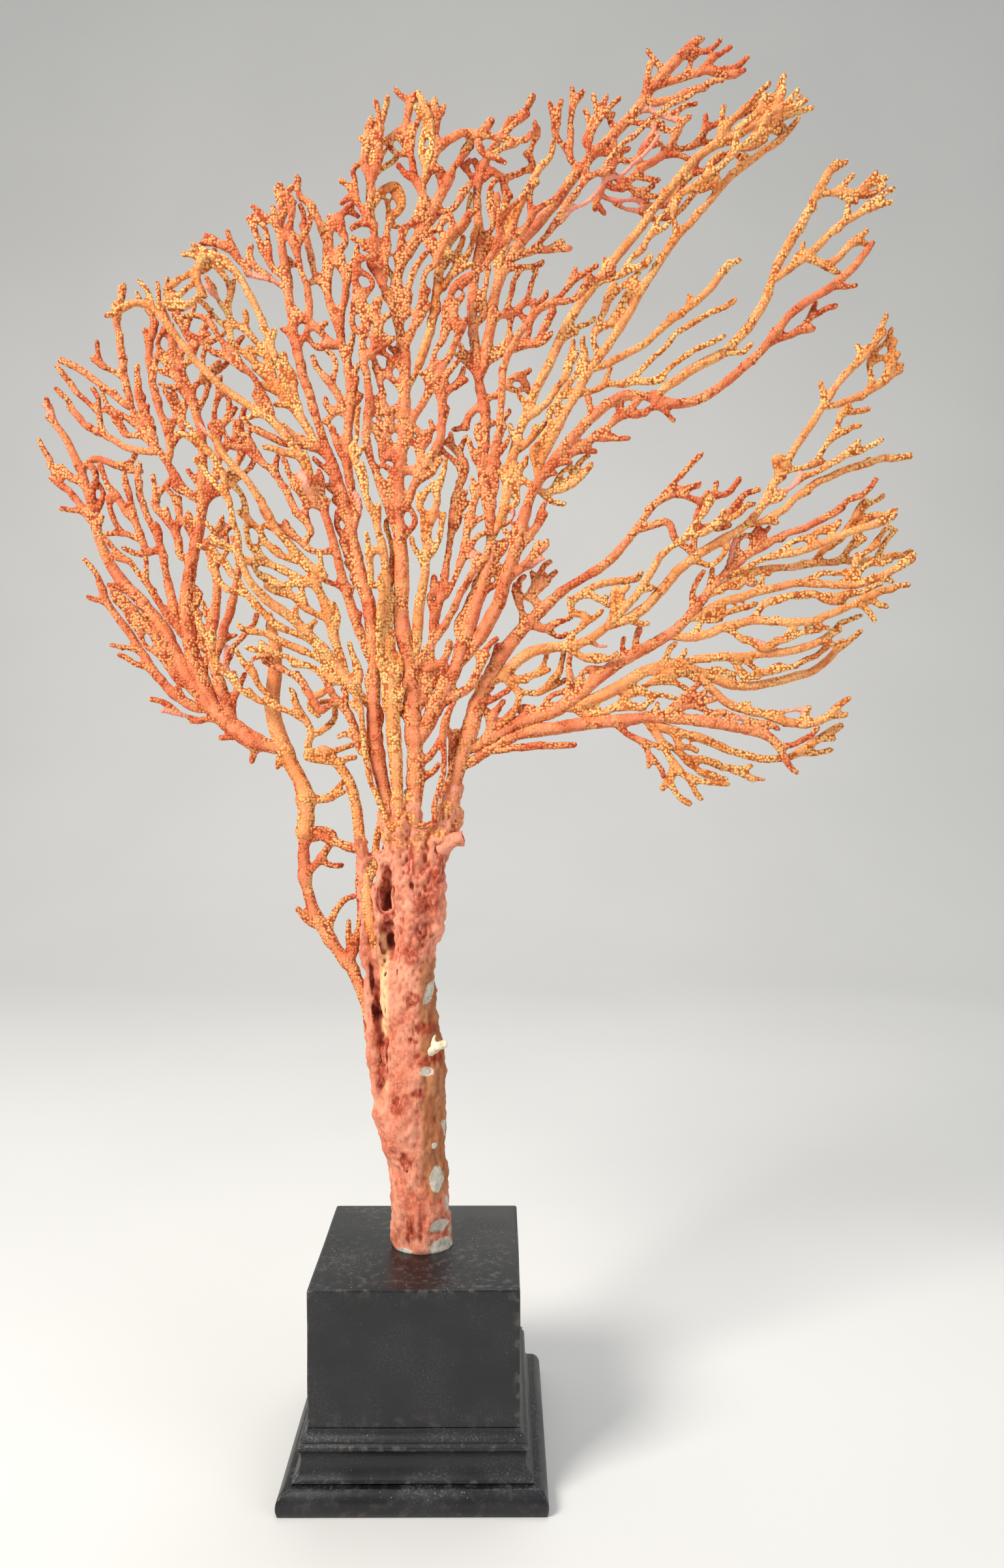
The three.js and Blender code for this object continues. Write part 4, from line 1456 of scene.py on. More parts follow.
@dataclass
class CrustedLimb:
    """A limb with its twigs as one skin: joined at the forks, knobbly and a little rough."""

    name: str
    slot: str
    branches: list[Branch]
    voxel: float = 0.84
    grain: float = 0.1
    spacing: float = 1.2

    def build(self, material: bpy.types.Material, draw: np.random.RandomState) -> bpy.types.Object:
        """Builds the skin, roughens it, and puts the material on.

        Args:
            material: the crust.
            draw: the seeded draws.

        Returns:
            The skin.
        """
        corners, faces, samples = [], [], []
        start = 0
        for branch in self.branches:
            points, radii, swell = self.shaped(branch, draw)
            ring, sides = tube(points, radii)
            corners.append(ring)
            faces += [tuple(v + start for v in face) for face in sides]
            start += len(ring)
            tip = smooth_step(run_lengths(points), 2.0, 10.0) * branch.blush
            warm = np.full(len(points), branch.warmth)
            samples.append(np.column_stack([points, radii, swell, warm, tip]))
        obj = new_object(f"{self.name}_skin", np.vstack(corners), faces)
        fused(obj, self.voxel, 3)
        self.roughen(obj, np.vstack(samples), draw)
        obj.data.materials.append(material)
        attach(obj, "root")
        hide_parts(self.name)
        return obj

    def shaped(
        self, branch: Branch, draw: np.random.RandomState
    ) -> tuple[np.ndarray, np.ndarray, np.ndarray]:
        """Gives a branch's line small bends and its radius swellings.

        Args:
            branch: the branch.
            draw: the seeded draws.

        Returns:
            Its points, its radii, and how swollen it is at each point.
        """
        points, radii = resampled(branch.points, branch.radii, self.spacing)
        count = len(points)
        for axis, amount in ((0, 0.34), (1, 0.3), (2, 0.34)):
            points[1:, axis] += amount * wander(draw, count, self.spacing, 6.5)[1:]
        swell = np.zeros(count)
        for fork in branch.forks:
            away = np.linalg.norm(points - fork, axis=1)
            swell = np.maximum(swell, np.exp(-((away / 2.6) ** 2)))
        runs = run_lengths(points)
        swell = np.maximum(swell, 0.8 * np.exp(-((runs / 2.4) ** 2)))
        for run in np.arange(draw.uniform(3, 14), runs[-1] - 2, 11.0):
            lump = draw.uniform(0.1, 0.55)
            swell = np.maximum(swell, lump * np.exp(-(((runs - run - draw.uniform(-3, 3)) / 1.5) ** 2)))
        radii = radii * (1 + 0.3 * swell + 0.07 * wander(draw, count, self.spacing, 4.0)) + 0.06
        return points, radii, swell

    def roughen(self, obj: bpy.types.Object, samples: np.ndarray, draw: np.random.RandomState) -> None:
        """Roughens the skin and stores what the finish needs at each vertex.

        Args:
            obj: the skin.
            samples: rows of point, radius, swelling, warmth and tip.
            draw: the seeded draws.
        """
        mesh = obj.data
        corners = corners_of(mesh)
        count = len(corners)
        tree = KDTree(len(samples))
        for k, row in enumerate(samples):
            tree.insert(row[:3], k)
        tree.balance()
        nearest = np.array([tree.find(spot)[1] for spot in corners.tolist()])
        near = samples[nearest]
        outward = corners - near[:, :3]
        outward /= np.maximum(np.linalg.norm(outward, axis=1), 1e-6)[:, None]
        facing = np.abs(outward[:, 1])
        thick = smooth_step(near[:, 3], 1.5, 2.9)
        ridge = smooth_step(facing, 0.5, 0.98) * thick
        normals = np.zeros(count * 3)
        mesh.vertices.foreach_get("normal", normals)
        grain = draw.uniform(-1.0, 1.0, count) * self.grain * (1 - 0.6 * ridge)
        corners += normals.reshape(-1, 3) * grain[:, None]
        mesh.vertices.foreach_set("co", (corners * MM).ravel())
        mesh.update()
        set_attribute(mesh, "ridge", ridge)
        set_attribute(mesh, "knot", near[:, 4])
        set_attribute(mesh, "warmth", near[:, 5])
        set_attribute(mesh, "tip", near[:, 6])


# ---------------------------------------------------------------- the fan


@dataclass
class Fan:
    """The branching fan: limbs read from the frame, twigs grown on them, and a skin for each limb."""

    golden_warmth: float = 0.25
    red_warmth: float = 0.6
    lobe_warmth: float = 0.85
    slimness: float = 0.88
    upper_loss: float = 0.2
    lump_depth: float = -4.0

    def __post_init__(self) -> None:
        """Sorts the frame's nodes and starts the draws."""
        self.slots = {s["node"]: s["material_slot"] for s in frame["record"]["subparts"]}
        stubs = tuple(stub.name for stub in STUBS)
        self.names = [n for n in sorted(frame["nodes"]) if not n.startswith(("plinth", "trunk", *stubs))]
        self.draw = np.random.RandomState(SEED + 1)
        self.grower = TwigGrower()
        self.feet: list[tuple[np.ndarray, np.ndarray]] = []

    def read_limbs(self) -> None:
        """Traces every limb's solid and joins its root to the limb or trunk that bears it."""
        surfaces = {}
        for name in [*self.names, "trunk"]:
            mesh = frame["nodes"][name].data
            faces = [tuple(p.vertices) for p in mesh.polygons]
            surfaces[name] = BVHTree.FromPolygons(corners_of(mesh).tolist(), faces)
        reader = LimbReader()
        read = {}
        for name in self.names:
            others = {other: surface for other, surface in surfaces.items() if other != name}
            read[name] = reader.read(frame["nodes"][name], others)
        for name, (points, radii, host) in read.items():
            if host == "trunk":
                points, radii = self.rooted_in_trunk(points, radii)
            else:
                line = resampled(read[host][0], read[host][1], 1.0)[0]
                seat = points[0] + unit(points[0] - points[1]) * 3.0
                nearest = line[np.argmin(np.linalg.norm(line - seat, axis=1))]
                points = np.vstack([nearest, points])
                radii = np.concatenate([[radii[0]], radii])
            points, radii = resampled(points, radii, 2.0)
            slim = self.slimness - self.upper_loss * smooth_step(points[:, 2], 290.0, 390.0)
            radii = np.maximum(radii * slim, 1.25)
            self.grower.lay(Branch(name, points, radii, self.warmth_of(name)))
            LOG.info("limb %s grows from %s, %.0f mm long", name, host, run_lengths(points)[-1])

    def rooted_in_trunk(self, points: np.ndarray, radii: np.ndarray) -> tuple[np.ndarray, np.ndarray]:
        """Runs a stem's foot down the trunk's face, so that the stem seems to part from it.

        Args:
            points: the stem's points, from its foot.
            radii: its radii.

        Returns:
            The longer points and radii.
        """
        foot = points[0]
        if foot[2] > 235:
            low = foot + np.array([-0.12 * foot[0], 4.0, -12.0])
            rooted = np.vstack([low, points])
            thick = np.concatenate([[radii[0] * 0.8], radii])
            self.feet.append((rooted, thick))
            return rooted, thick
        low = foot + np.array([4.5, 2.5, -9.0])
        return np.vstack([low, points]), np.concatenate([[radii[0]], radii])

    def warmth_of(self, name: str) -> float:
        """How red a limb is."""
        if name.startswith("left_lobe"):
            return self.lobe_warmth
        return self.red_warmth if self.slots[name] == "red_crust" else self.golden_warmth

    def lay_by_hand(self) -> None:
        """Lays the listed twigs on the limbs they leave."""
        sight = self.grower.sightlines
        for region, routes in HAND_LAID.items():
            for route in routes:
                drawn = np.array(route, float)
                best = None
                for number, branch in enumerate(self.grower.branches):
                    if Region.of(branch.piece) is not region:
                        continue
                    flat = sight.draw(branch.points)
                    away = np.linalg.norm(flat - drawn[0], axis=1)
                    k = int(np.argmin(away))
                    if best is None or away[k] < best[0]:
                        best = (away[k], number, k)
                host = self.grower.branches[best[1]]
                line = curved(drawn, 1.5)
                lean = self.draw.normal(0.0, 0.06)
                depths = host.points[best[2], 1] + lean * run_lengths(line)
                points = sight.place(line, depths)
                foot = min(1.75, max(1.3, host.radii[best[2]] * 0.72))
                radii = np.linspace(foot, self.draw.uniform(1.15, 1.35), len(points))
                if best[0] > 1.0:
                    points = np.vstack([host.points[best[2]], points])
                    radii = np.append(foot, radii)
                host.forks.append(points[0])
                warmth = host.warmth + 0.3 * float(smooth_step(points[-1, 2], 420.0, 520.0))
                self.grower.lay(Branch(host.piece, points, radii, warmth))

    def lay_lump(self) -> None:
        """Lays the pink lump of another growth that sits on the left of the crown."""
        drawn = np.array([(-41.5, 381.0), (-44.0, 386.0), (-46.5, 390.0), (-47.5, 393.0)])
        points = self.grower.sightlines.place(drawn, np.full(len(drawn), self.lump_depth))
        radii = np.array([2.0, 4.4, 4.0, 2.2])
        self.grower.lay(Branch("crown_left_inner", points, radii, 0.3, blush=1.0))

    def build(self, finishes: dict[str, bpy.types.Material]) -> None:
        """Grows the twigs and builds every limb's skin.

        Args:
            finishes: the material of each slot.
        """
        self.lay_by_hand()
        self.lay_lump()
        laid = len(self.grower.branches)
        self.grower.grow()
        branches = [b for b in self.grower.branches if len(b.points) > 2]
        LOG.info("%d branches laid, %d in all", laid, len(branches))
        total = 0
        for name in self.names:
            own = [b for b in branches if b.piece == name]
            limb = CrustedLimb(name, self.slots[name], own)
            obj = limb.build(finishes[self.slots[name]], self.draw)
            total += 2 * len(obj.data.polygons)
            LOG.info("%s: %d branches, %d faces", name, len(own), len(obj.data.polygons))
        LOG.info("the fan's limbs have about %d triangles", total)


@dataclass(frozen=True)
class Mark:
    """An oval mark on the trunk's face: its middle, its half sizes and its lean to the right."""

    x: float
    z: float
    half_width: float
    half_height: float
    lean: float = 0.0

    def reach(self, x: np.ndarray, z: np.ndarray) -> np.ndarray:
        """1 at the middle, 0 at the edge, and below 0 outside."""
        across = (x - self.x - self.lean * (z - self.z)) / self.half_width
        return 1 - np.hypot(across, (z - self.z) / self.half_height)


@dataclass
class Trunk:
    """The trunk: stems grown together, with clefts and hollows between them and bare patches low down."""

    around: int = 96
    rise: float = 0.9
    voxel: float = 0.72
    shoulder: float = 236.0
    sleeve: float = 26.0
    bare: tuple[Mark, ...] = (
        Mark(7.2, 109.5, 3.1, 5.6, -0.03),
        Mark(9.2, 129, 0.9, 3.8, -0.12),
        Mark(6.2, 123, 1.0, 1.6),
        Mark(8.0, 90.6, 4.2, 2.8),
        Mark(12.0, 96.5, 1.7, 5.2, -0.2),
        Mark(9.2, 82, 5.6, 3.7),
        Mark(13.2, 87, 1.5, 3.0),
        Mark(3.6, 184.6, 1.9, 5.0, 0.3),
        Mark(3.0, 153.5, 2.8, 2.0),
        Mark(-6, 80.8, 3.4, 1.2),
    )
    # Pits are carved into the skin and also painted dark, as painted shade inside them.
    pits: tuple[Mark, ...] = (
        Mark(-10.2, 226, 1.5, 4.5),
        Mark(-13.0, 221, 2.4, 6.0),
        Mark(-12.5, 205, 2.2, 5.2),
        Mark(-3, 228, 1.7, 2.5),
        Mark(7.6, 242, 2.4, 3.0),
        Mark(-19.3, 190, 1.4, 7.5, -0.12),
        Mark(-17.6, 176, 1.4, 5.6, -0.1),
        Mark(-13.3, 158, 0.9, 8.0),
        Mark(-8.8, 193.5, 0.6, 2.6),
        Mark(-13.4, 192, 0.5, 1.4),
        Mark(-13.5, 177, 0.6, 2.4),
        Mark(-4.9, 113.4, 0.7, 0.7),
    )
    reds: tuple[Mark, ...] = (
        Mark(3.5, 222, 5.0, 7.5),
        Mark(8.5, 236, 3.4, 7.0),
        Mark(-3.0, 238, 1.6, 8.0),
        Mark(-2.5, 200, 3.6, 5.0),
        Mark(2.0, 170, 5.0, 2.4),
        Mark(-8.0, 140, 3.0, 4.0),
        Mark(1.0, 209, 3.2, 5.2),
        Mark(-2, 182, 3.4, 2.6),
        Mark(-2.5, 165.6, 2.8, 1.4),
        Mark(5, 158, 4.2, 3.2),
        Mark(0, 144.5, 2.2, 1.8),
        Mark(-15, 156, 2.4, 9.0),
        Mark(-5.8, 117.5, 1.8, 3.2),
        Mark(0.6, 92, 0.8, 8.0),
        Mark(-3.4, 90, 1.6, 5.0),
        Mark(-17.0, 180, 1.4, 10.0),
        Mark(-13.0, 218, 3.0, 9.0),
    )
    # Stems that have grown into the trunk: (x, y, z) points and a radius.
    stems: tuple[tuple[tuple[tuple[float, float, float], ...], float], ...] = (
        (((-16, -2, 186), (-17.6, -3, 200), (-17.6, -3.5, 214), (-17.2, -3.5, 226), (-15, -3, 237)), 2.4),
        (((-15, -3, 237), (-12.6, -3.5, 240), (-10.2, -3.5, 236), (-9, -3, 228)), 2.3),
        (((-17, -3, 213), (-13.5, -3, 214.5), (-9, -2, 216)), 2.6),
        (((-13.5, 3.5, 196), (-13.5, 3.5, 215), (-12.5, 3, 236)), 4.2),
        (((-7, -4, 206), (-8, -5, 222), (-8.5, -4.5, 236), (-9.5, -3, 250)), 3.4),
        (((-1, -4.5, 210), (-1, -5.5, 228), (-1.5, -4.5, 242), (-1.5, -3.5, 257)), 3.8),
        (((5, -3, 210), (6, -4, 226), (6.5, -3, 240), (9, -1, 252)), 4.6),
        (((8.5, 0, 238), (10.5, 1, 247), (13.5, 3, 256)), 4.2),
        (((1.5, -2.5, 246), (4.5, -2.5, 252), (8, -1.5, 252)), 2.6),
        (((-11.5, 3, 228), (-11.5, 3, 240), (-12, 3, 250)), 3.4),
        (((-4, 5.5, 205), (-4, 6, 225), (-5, 5, 244)), 4.4),
        (((4, 5.5, 205), (4, 6, 225), (6, 5, 246)), 4.6),
        (((-15, -2, 136), (-18.2, -2.5, 150), (-19.6, -2.5, 163), (-20, -2.5, 178), (-20, -2, 190)), 2.5),
        (((-20, -2, 190), (-21, -2, 204), (-22.5, -2, 218), (-22.5, -2, 232), (-23.5, -2, 246)), 2.4),
        (((-21.5, -1, 238), (-17, -1, 240), (-13, 0, 240)), 1.9),
        (((-14.5, 1, 148), (-16.5, 1, 162), (-16.5, 1.5, 178), (-16, 1, 190)), 2.9),
        (((-21, -1, 199), (-17, -1, 198), (-12, 0, 199)), 2.2),
    )

    def sections(self) -> tuple[np.ndarray, np.ndarray]:
        """The heights of the solid's rings, and at each the middle, half width and half depth.

        Returns:
            The heights, and rows of middle, half width and half depth.
        """
        corners = corners_of(frame["nodes"]["trunk"].data)
        heights = np.unique(np.round(corners[:, 2], 1))
        rows, kept = [], []
        for height in heights:
            ring = corners[np.abs(corners[:, 2] - height) < 0.1]
            width, depth = np.ptp(ring[:, 0]), np.ptp(ring[:, 1])
            if width > 2:
                rows.append([(ring[:, 0].min() + ring[:, 0].max()) / 2, width / 2, depth / 2])
                kept.append(height)
        return np.array(kept), np.array(rows)

    def body(self) -> tuple[np.ndarray, list]:
        """The trunk's plain body as a closed tube, narrower above where stems part from it.

        Returns:
            Vertex positions and faces.
        """
        heights, rows = self.sections()
        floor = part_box("plinth_block")[1].z / MM
        levels = np.arange(floor - 0.3, self.shoulder + 6, self.rise)
        middle, half_width, half_depth = (np.interp(levels, heights, rows[:, k]) for k in range(3))
        inset = smooth_step(levels, 188, 202) * 7.2
        left = middle - half_width + inset
        right = middle + half_width
        middle, half_width = (left + right) / 2, (right - left) / 2
        close = np.sqrt(np.clip(1 - ((levels - self.shoulder + 6) / 12.5) ** 2, 0.02, 1))
        close = np.where(levels < self.shoulder - 6, 1.0, close)
        angles = np.arange(self.around) * 2 * math.pi / self.around
        x = middle[:, None] + (half_width * close)[:, None] * np.cos(angles)
        y = (half_depth * close)[:, None] * np.sin(angles)
        z = np.repeat(levels[:, None], self.around, axis=1)
        corners = np.stack([x, y, z], axis=2).reshape(-1, 3)
        n = self.around
        faces = [tuple(range(n - 1, -1, -1)), tuple(range((len(levels) - 1) * n, len(levels) * n))]
        for row in range(len(levels) - 1):
            for k in range(n):
                after = (k + 1) % n
                faces.append((row * n + k, row * n + after, (row + 1) * n + after, (row + 1) * n + k))
        return corners, faces

    def build(
        self, material: bpy.types.Material, feet: list[tuple[np.ndarray, np.ndarray]]
    ) -> bpy.types.Object:
        """Builds the trunk's skin: body, stems and a sleeve on each limb's foot, fused and weathered.

        Args:
            material: the crust.
            feet: points and radii of each limb's foot.

        Returns:
            The skin.
        """
        draw = np.random.RandomState(SEED + 2)
        corners, faces = self.body()
        parts = [corners]
        start = len(corners)
        for route, radius in self.stems:
            line = curved(np.array(route, float), 1.5)
            ring, sides = tube(line, np.full(len(line), radius), 12)
            parts.append(ring)
            faces += [tuple(v + start for v in face) for face in sides]
            start += len(ring)
        for points, radii in feet:
            line, thick = resampled(points, radii, 1.5)
            runs = run_lengths(line)
            low = runs < self.sleeve
            swell = np.interp(runs[low], (0.0, 13.0, self.sleeve), (1.5, 1.35, 0.8))
            ring, sides = tube(line[low], thick[low] * swell, 12)
            parts.append(ring)
            faces += [tuple(v + start for v in face) for face in sides]
            start += len(ring)
        obj = new_object("trunk_skin", np.vstack(parts), faces)
        fused(obj, self.voxel, 6)
        self.weather(obj, draw)
        obj.data.materials.append(material)
        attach(obj, "root")
        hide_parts("trunk")
        return obj

    def weather(self, obj: bpy.types.Object, draw: np.random.RandomState) -> None:
        """Moves the skin out and in for lumps, grains and hollows, and stores the marks for the finish.

        Args:
            obj: the skin.
            draw: the seeded draws.
        """
        mesh = obj.data
        corners = corners_of(mesh)
        normals = np.zeros(len(corners) * 3)
        mesh.vertices.foreach_get("normal", normals)
        normals = normals.reshape(-1, 3)
        x, y, z = corners.T
        front = smooth_step(-normals[:, 1], -0.1, 0.35)
        bare = np.max([m.reach(x, z) for m in self.bare], axis=0)
        ragged = 0.5 * lattice_noise(corners, np.array((3.0, 3.0, 4.0)), draw)
        # The pit marks carve the skin inwards and carry the painted shade of the pits, on the front only.
        pit = np.max([smooth_step(m.reach(x, z) + 0.6 * ragged, -0.3, 0.8) for m in self.pits], axis=0)
        pit *= front
        red = np.max([smooth_step(m.reach(x, z) + ragged, -0.6, 0.4) for m in self.reds], axis=0) * front
        relief = np.zeros(len(corners))
        for wavelength, amount in (((10, 10, 17), 1.0), ((5.5, 5.5, 8), 1.0), ((2.8, 2.8, 3.6), 0.85)):
            relief += amount * lattice_noise(corners, np.array(wavelength), draw)
        grain = lattice_noise(corners, np.array((1.4, 1.4, 1.7)), draw)
        relief += grain * (0.42 + 0.4 * np.maximum(red, smooth_step(z, 180, 215)))
        flat = smooth_step(bare, 0.0, 0.3) * front
        relief = relief * (1 - 0.8 * flat) - 0.25 * flat
        relief -= 1.1 * pit + 0.35 * red
        relief *= smooth_step(z, 80, 83)
        corners += normals * relief[:, None]
        mesh.vertices.foreach_set("co", (corners * MM).ravel())
        mesh.update()
        # The trunk's right half, from about 100 to 200 mm up, is marked for the brownish painted shade of
        # the side away from the key light.
        brown_shade = smooth_step(x + 0.02 * (z - 140), -2.0, 3.5) * smooth_step(z, 92, 112)
        brown_shade *= (1 - smooth_step(z, 190, 205)) * 0.9
        # The front of the trunk's left side, between about 140 and 230 mm up, is marked for a pale painted
        # highlight where the key light falls.
        pale = smooth_step(x, -18.5, -15.5) * (1 - smooth_step(x, -14.0, -9.0)) * 0.8
        pale *= smooth_step(z, 135, 150) * (1 - smooth_step(z, 222, 240))
        set_attribute(mesh, "bare", np.where(front > 0.4, np.clip(bare, -1, 1), -1.0))
        set_attribute(mesh, "pit", pit)
        set_attribute(mesh, "red", red)
        set_attribute(mesh, "brown_shade", brown_shade)
        set_attribute(mesh, "pale", pale * (1 - red) * front)
        set_attribute(mesh, "gold", smooth_step(z, 236, 250))


@dataclass
class Stub:
    """A short broken branch on the trunk, set from the middle of its solid's box."""

    name: str
    slot: str
    routes: tuple[tuple[tuple[tuple[float, float, float], ...], tuple[float, float]], ...]
    crater: float = 0.0
    voxel: float = 0.45

    def build(self, material: bpy.types.Material) -> None:
        """Builds the stub's skin.

        Args:
            material: the finish.
        """
        draw = np.random.RandomState(SEED + 4)
        low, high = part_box(self.name)
        middle = np.array((low + high) / 2) / MM
        corners, faces = [], []
        start = 0
        for route, (foot, tip) in self.routes:
            line = curved(middle + np.array(route, float), 0.8)
            ring, sides = tube(line, np.linspace(foot, tip, len(line)), 12)
            corners.append(ring)
            faces += [tuple(v + start for v in face) for face in sides]
            start += len(ring)
        obj = new_object(self.name + "_skin", np.vstack(corners), faces)
        fused(obj, self.voxel, 4)
        spots = corners_of(obj.data)
        normals = np.zeros(len(spots) * 3)
        obj.data.vertices.foreach_get("normal", normals)
        lumps = 0.3 * lattice_noise(spots, 2.2, draw) + 0.14 * lattice_noise(spots, 0.9, draw)
        end = middle + np.array(self.routes[0][0][-1])
        way = unit(end - middle - np.array(self.routes[0][0][-2]))
        mouth = end + way * self.routes[0][1][1] * 0.9
        pit = 1 - smooth_step(np.linalg.norm(spots - mouth, axis=1), 0.9, 2.6)
        spots += normals.reshape(-1, 3) * lumps[:, None] - np.outer(pit * self.crater, way)
        obj.data.vertices.foreach_set("co", (spots * MM).ravel())
        obj.data.update()
        set_attribute(obj.data, "bare", np.full(len(spots), -1.0))
        set_attribute(obj.data, "red", pit * (self.crater > 0))
        obj.data.materials.append(material)
        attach(obj, "root")
        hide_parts(self.name)


STUBS = (
    Stub(
        "bare_stub",
        "bare_axis",
        (
            (((-4.0, 3.0, -3.4), (-1.4, 1.0, -1.6), (1.2, -0.8, 0.6), (3.2, -1.4, 1.3)), (2.1, 1.7)),
            (((-1.6, 1.0, 0.2), (-1.2, 0.2, 2.8), (-0.6, 0.0, 4.6)), (1.0, 0.5)),
        ),
    ),
    Stub(
        "broken_stub",
        "trunk_crust",
        (
            (((-5.0, 1.0, -3.6), (-1.0, 0.0, -0.6), (2.8, -0.4, 0.6)), (3.6, 2.7)),
            (((1.6, -0.6, 2.2), (3.6, -0.8, 3.4)), (1.0, 0.7)),
            (((1.6, -0.6, -1.6), (3.8, -0.8, -2.0)), (1.0, 0.8)),
        ),
        crater=1.5,
    ),
)


# ---------------------------------------------------------------- the plinth


@dataclass
class Plinth:
    """The moulded plinth: a foot slab, a moulding and a block, each a profile carried round a square."""

    corner_radius: float = 0.7
    corner_steps: int = 4
    side_steps: int = 30
    ease: float = 0.5

    def profiles(self) -> dict[str, list[tuple[float, float]]]:
        """Each piece's outline as half widths and heights, upwards, read from the frame's boxes.

        Returns:
            Half widths and heights of each piece, upwards.
        """
        foot, moulding, block = (self.box(n) for n in ("plinth_foot", "plinth_moulding", "plinth_block"))
        face = block[0]
        foot_edge = foot[0]
        cove_foot, cove_top = moulding[1], moulding[2]
        out = {
            "plinth_foot": [
                (foot_edge - 0.9, foot[1]),
                (foot_edge - 0.4, foot[1] + 0.3),
                (foot_edge, foot[1] + 2.0),
                *self.bowed((foot_edge, foot[1] + 2.0), (face + 8.0, foot[2] - 0.6), 0.9),
                (face + 8.0, foot[2] - 0.6),
                (face + 7.4, foot[2] - 0.1),
                (face + 6.6, foot[2]),
            ],
            "plinth_moulding": [
                (face + 4.8, cove_foot),
                (face + 5.15, cove_foot + 0.3),
                (face + 5.1, cove_foot + 0.9),
                *self.bowed((face + 5.1, cove_foot + 0.9), (face + 2.2, 17.0), -0.8),
                (face + 2.2, 17.0),
                (face + 2.45, 19.6),
                (face + 2.9, 20.2),
                (face + 3.3, 20.8),
                (face + 3.4, 21.4),
                (face + 3.1, 22.1),
                (face + 2.4, 22.6),
                (face + 2.2, 22.9),
                (face + 2.4, 23.5),
                (face + 2.4, 24.0),
                *self.bowed((face + 2.4, 24.0), (face + 0.1, cove_top), -0.5),
                (face + 0.1, cove_top),
            ],
            "plinth_block": [
                (face - 0.1, block[1]),
                (face, block[1] + 0.4),
                (face, block[2] - 1.2),
                (face - 0.12, block[2] - 0.5),
                (face - 0.45, block[2] - 0.12),
                (face - 1.1, block[2]),
            ],
        }
        return out

    def box(self, node: str) -> tuple[float, float, float]:
        """A node's half width, lowest and highest heights, in millimetres."""
        low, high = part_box(node)
        return (high.x - low.x) / 2 / MM, low.z / MM, high.z / MM

    def bowed(
        self, start: tuple[float, float], end: tuple[float, float], sag: float, steps: int = 8
    ) -> list[tuple[float, float]]:
        """Points of a hollow or round between two corners, without the corners.

        Args:
            start: the first corner.
            end: the last corner.
            sag: how far the middle bows.
            steps: how many parts the bow has.

        Returns:
            The points between the corners.
        """
        (x0, z0), (x1, z1) = start, end
        length = math.hypot(x1 - x0, z1 - z0)
        out = []
        for k in range(1, steps):
            t = k / steps
            bow = sag * 4 * t * (1 - t) / length
            out.append((x0 + (x1 - x0) * t + (z1 - z0) * bow, z0 + (z1 - z0) * t - (x1 - x0) * bow))
        return out

    def build(self, material: bpy.types.Material) -> None:
        """Builds the three pieces."""
        draw = np.random.RandomState(SEED + 3)
        for name, profile in self.profiles().items():
            corners, faces, worn_and_shaded = self.turned_square(profile, draw)
            obj = new_object(name + "_finished", corners, faces)
            obj.data.set_sharp_from_angle(angle=math.radians(50))
            set_attribute(obj.data, "edge", worn_and_shaded)
            obj.data.materials.append(material)
            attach(obj, "root")
            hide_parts(name)
            LOG.info("%s: %d faces", obj.name, len(faces))

    def ring(self, half: float, height: float) -> tuple[np.ndarray, np.ndarray]:
        """One level of the square with rounded corners, and how near each point is to a corner.

        Args:
            half: half the square's width.
            height: its height.

        Returns:
            The points, and 1 on a rounded corner or 0 elsewhere.
        """
        straight = half - self.corner_radius
        points, corner = [], []
        for side in range(4):
            turn = side * math.pi / 2
            c, s = math.cos(turn), math.sin(turn)
            steps = range(self.side_steps)
            local = [(half, -straight + 2 * straight * k / self.side_steps, 0.0) for k in steps]
            for k in range(self.corner_steps + 1):
                a = k / self.corner_steps * math.pi / 2
                across = straight + self.corner_radius * math.cos(a)
                local.append((across, straight + self.corner_radius * math.sin(a), 1.0))
            for px, py, near in local[: self.side_steps + self.corner_steps + 1]:
                points.append((px * c - py * s, px * s + py * c, height))
                corner.append(near)
        return np.array(points), np.array(corner)

    def turned_square(
        self, profile: list[tuple[float, float]], draw: np.random.RandomState
    ) -> tuple[np.ndarray, list, np.ndarray]:
        """A profile carried round the square, closed above and below.

        Args:
            profile: half widths and heights, upwards.
            draw: the seeded draws for the hand-made unevenness; not used.

        Returns:
            Vertex positions, faces, and how worn each vertex is.
        """
        line = self.filled(profile)
        rings, worn_and_shaded = [], []
        bends = self.bends(line)
        for (half, height), bend in zip(line, bends):
            ring, corner = self.ring(half, height)
            waver = 0.05 * np.sin(ring[:, 0] / 9 + height / 5) * np.cos(ring[:, 1] / 11)
            ring[:, :2] *= (1 + waver / half)[:, None]
            rings.append(ring)
            worn_and_shaded.append(np.maximum(corner, bend))
        n = len(rings[0])
        faces = []
        for row in range(len(rings) - 1):
            for k in range(n):
                after = (k + 1) % n
                faces.append((row * n + k, row * n + after, (row + 1) * n + after, (row + 1) * n + k))
        corners = np.vstack(rings)
        faces.append(tuple(range(n - 1, -1, -1)))
        faces.append(tuple(range((len(rings) - 1) * n, len(rings) * n)))
        return corners, faces, np.concatenate(worn_and_shaded)

    def filled(self, profile: list[tuple[float, float]]) -> list[tuple[float, float]]:
        """The profile with its long straights cut into shorter steps.

        Args:
            profile: half widths and heights, upwards.

        Returns:
            The profile with more points.
        """
        out = [profile[0]]
        for (x0, z0), (x1, z1) in zip(profile, profile[1:]):
            steps = max(1, int(math.hypot(x1 - x0, z1 - z0) / 6))
            out += [(x0 + (x1 - x0) * k / steps, z0 + (z1 - z0) * k / steps) for k in range(1, steps + 1)]
        return out

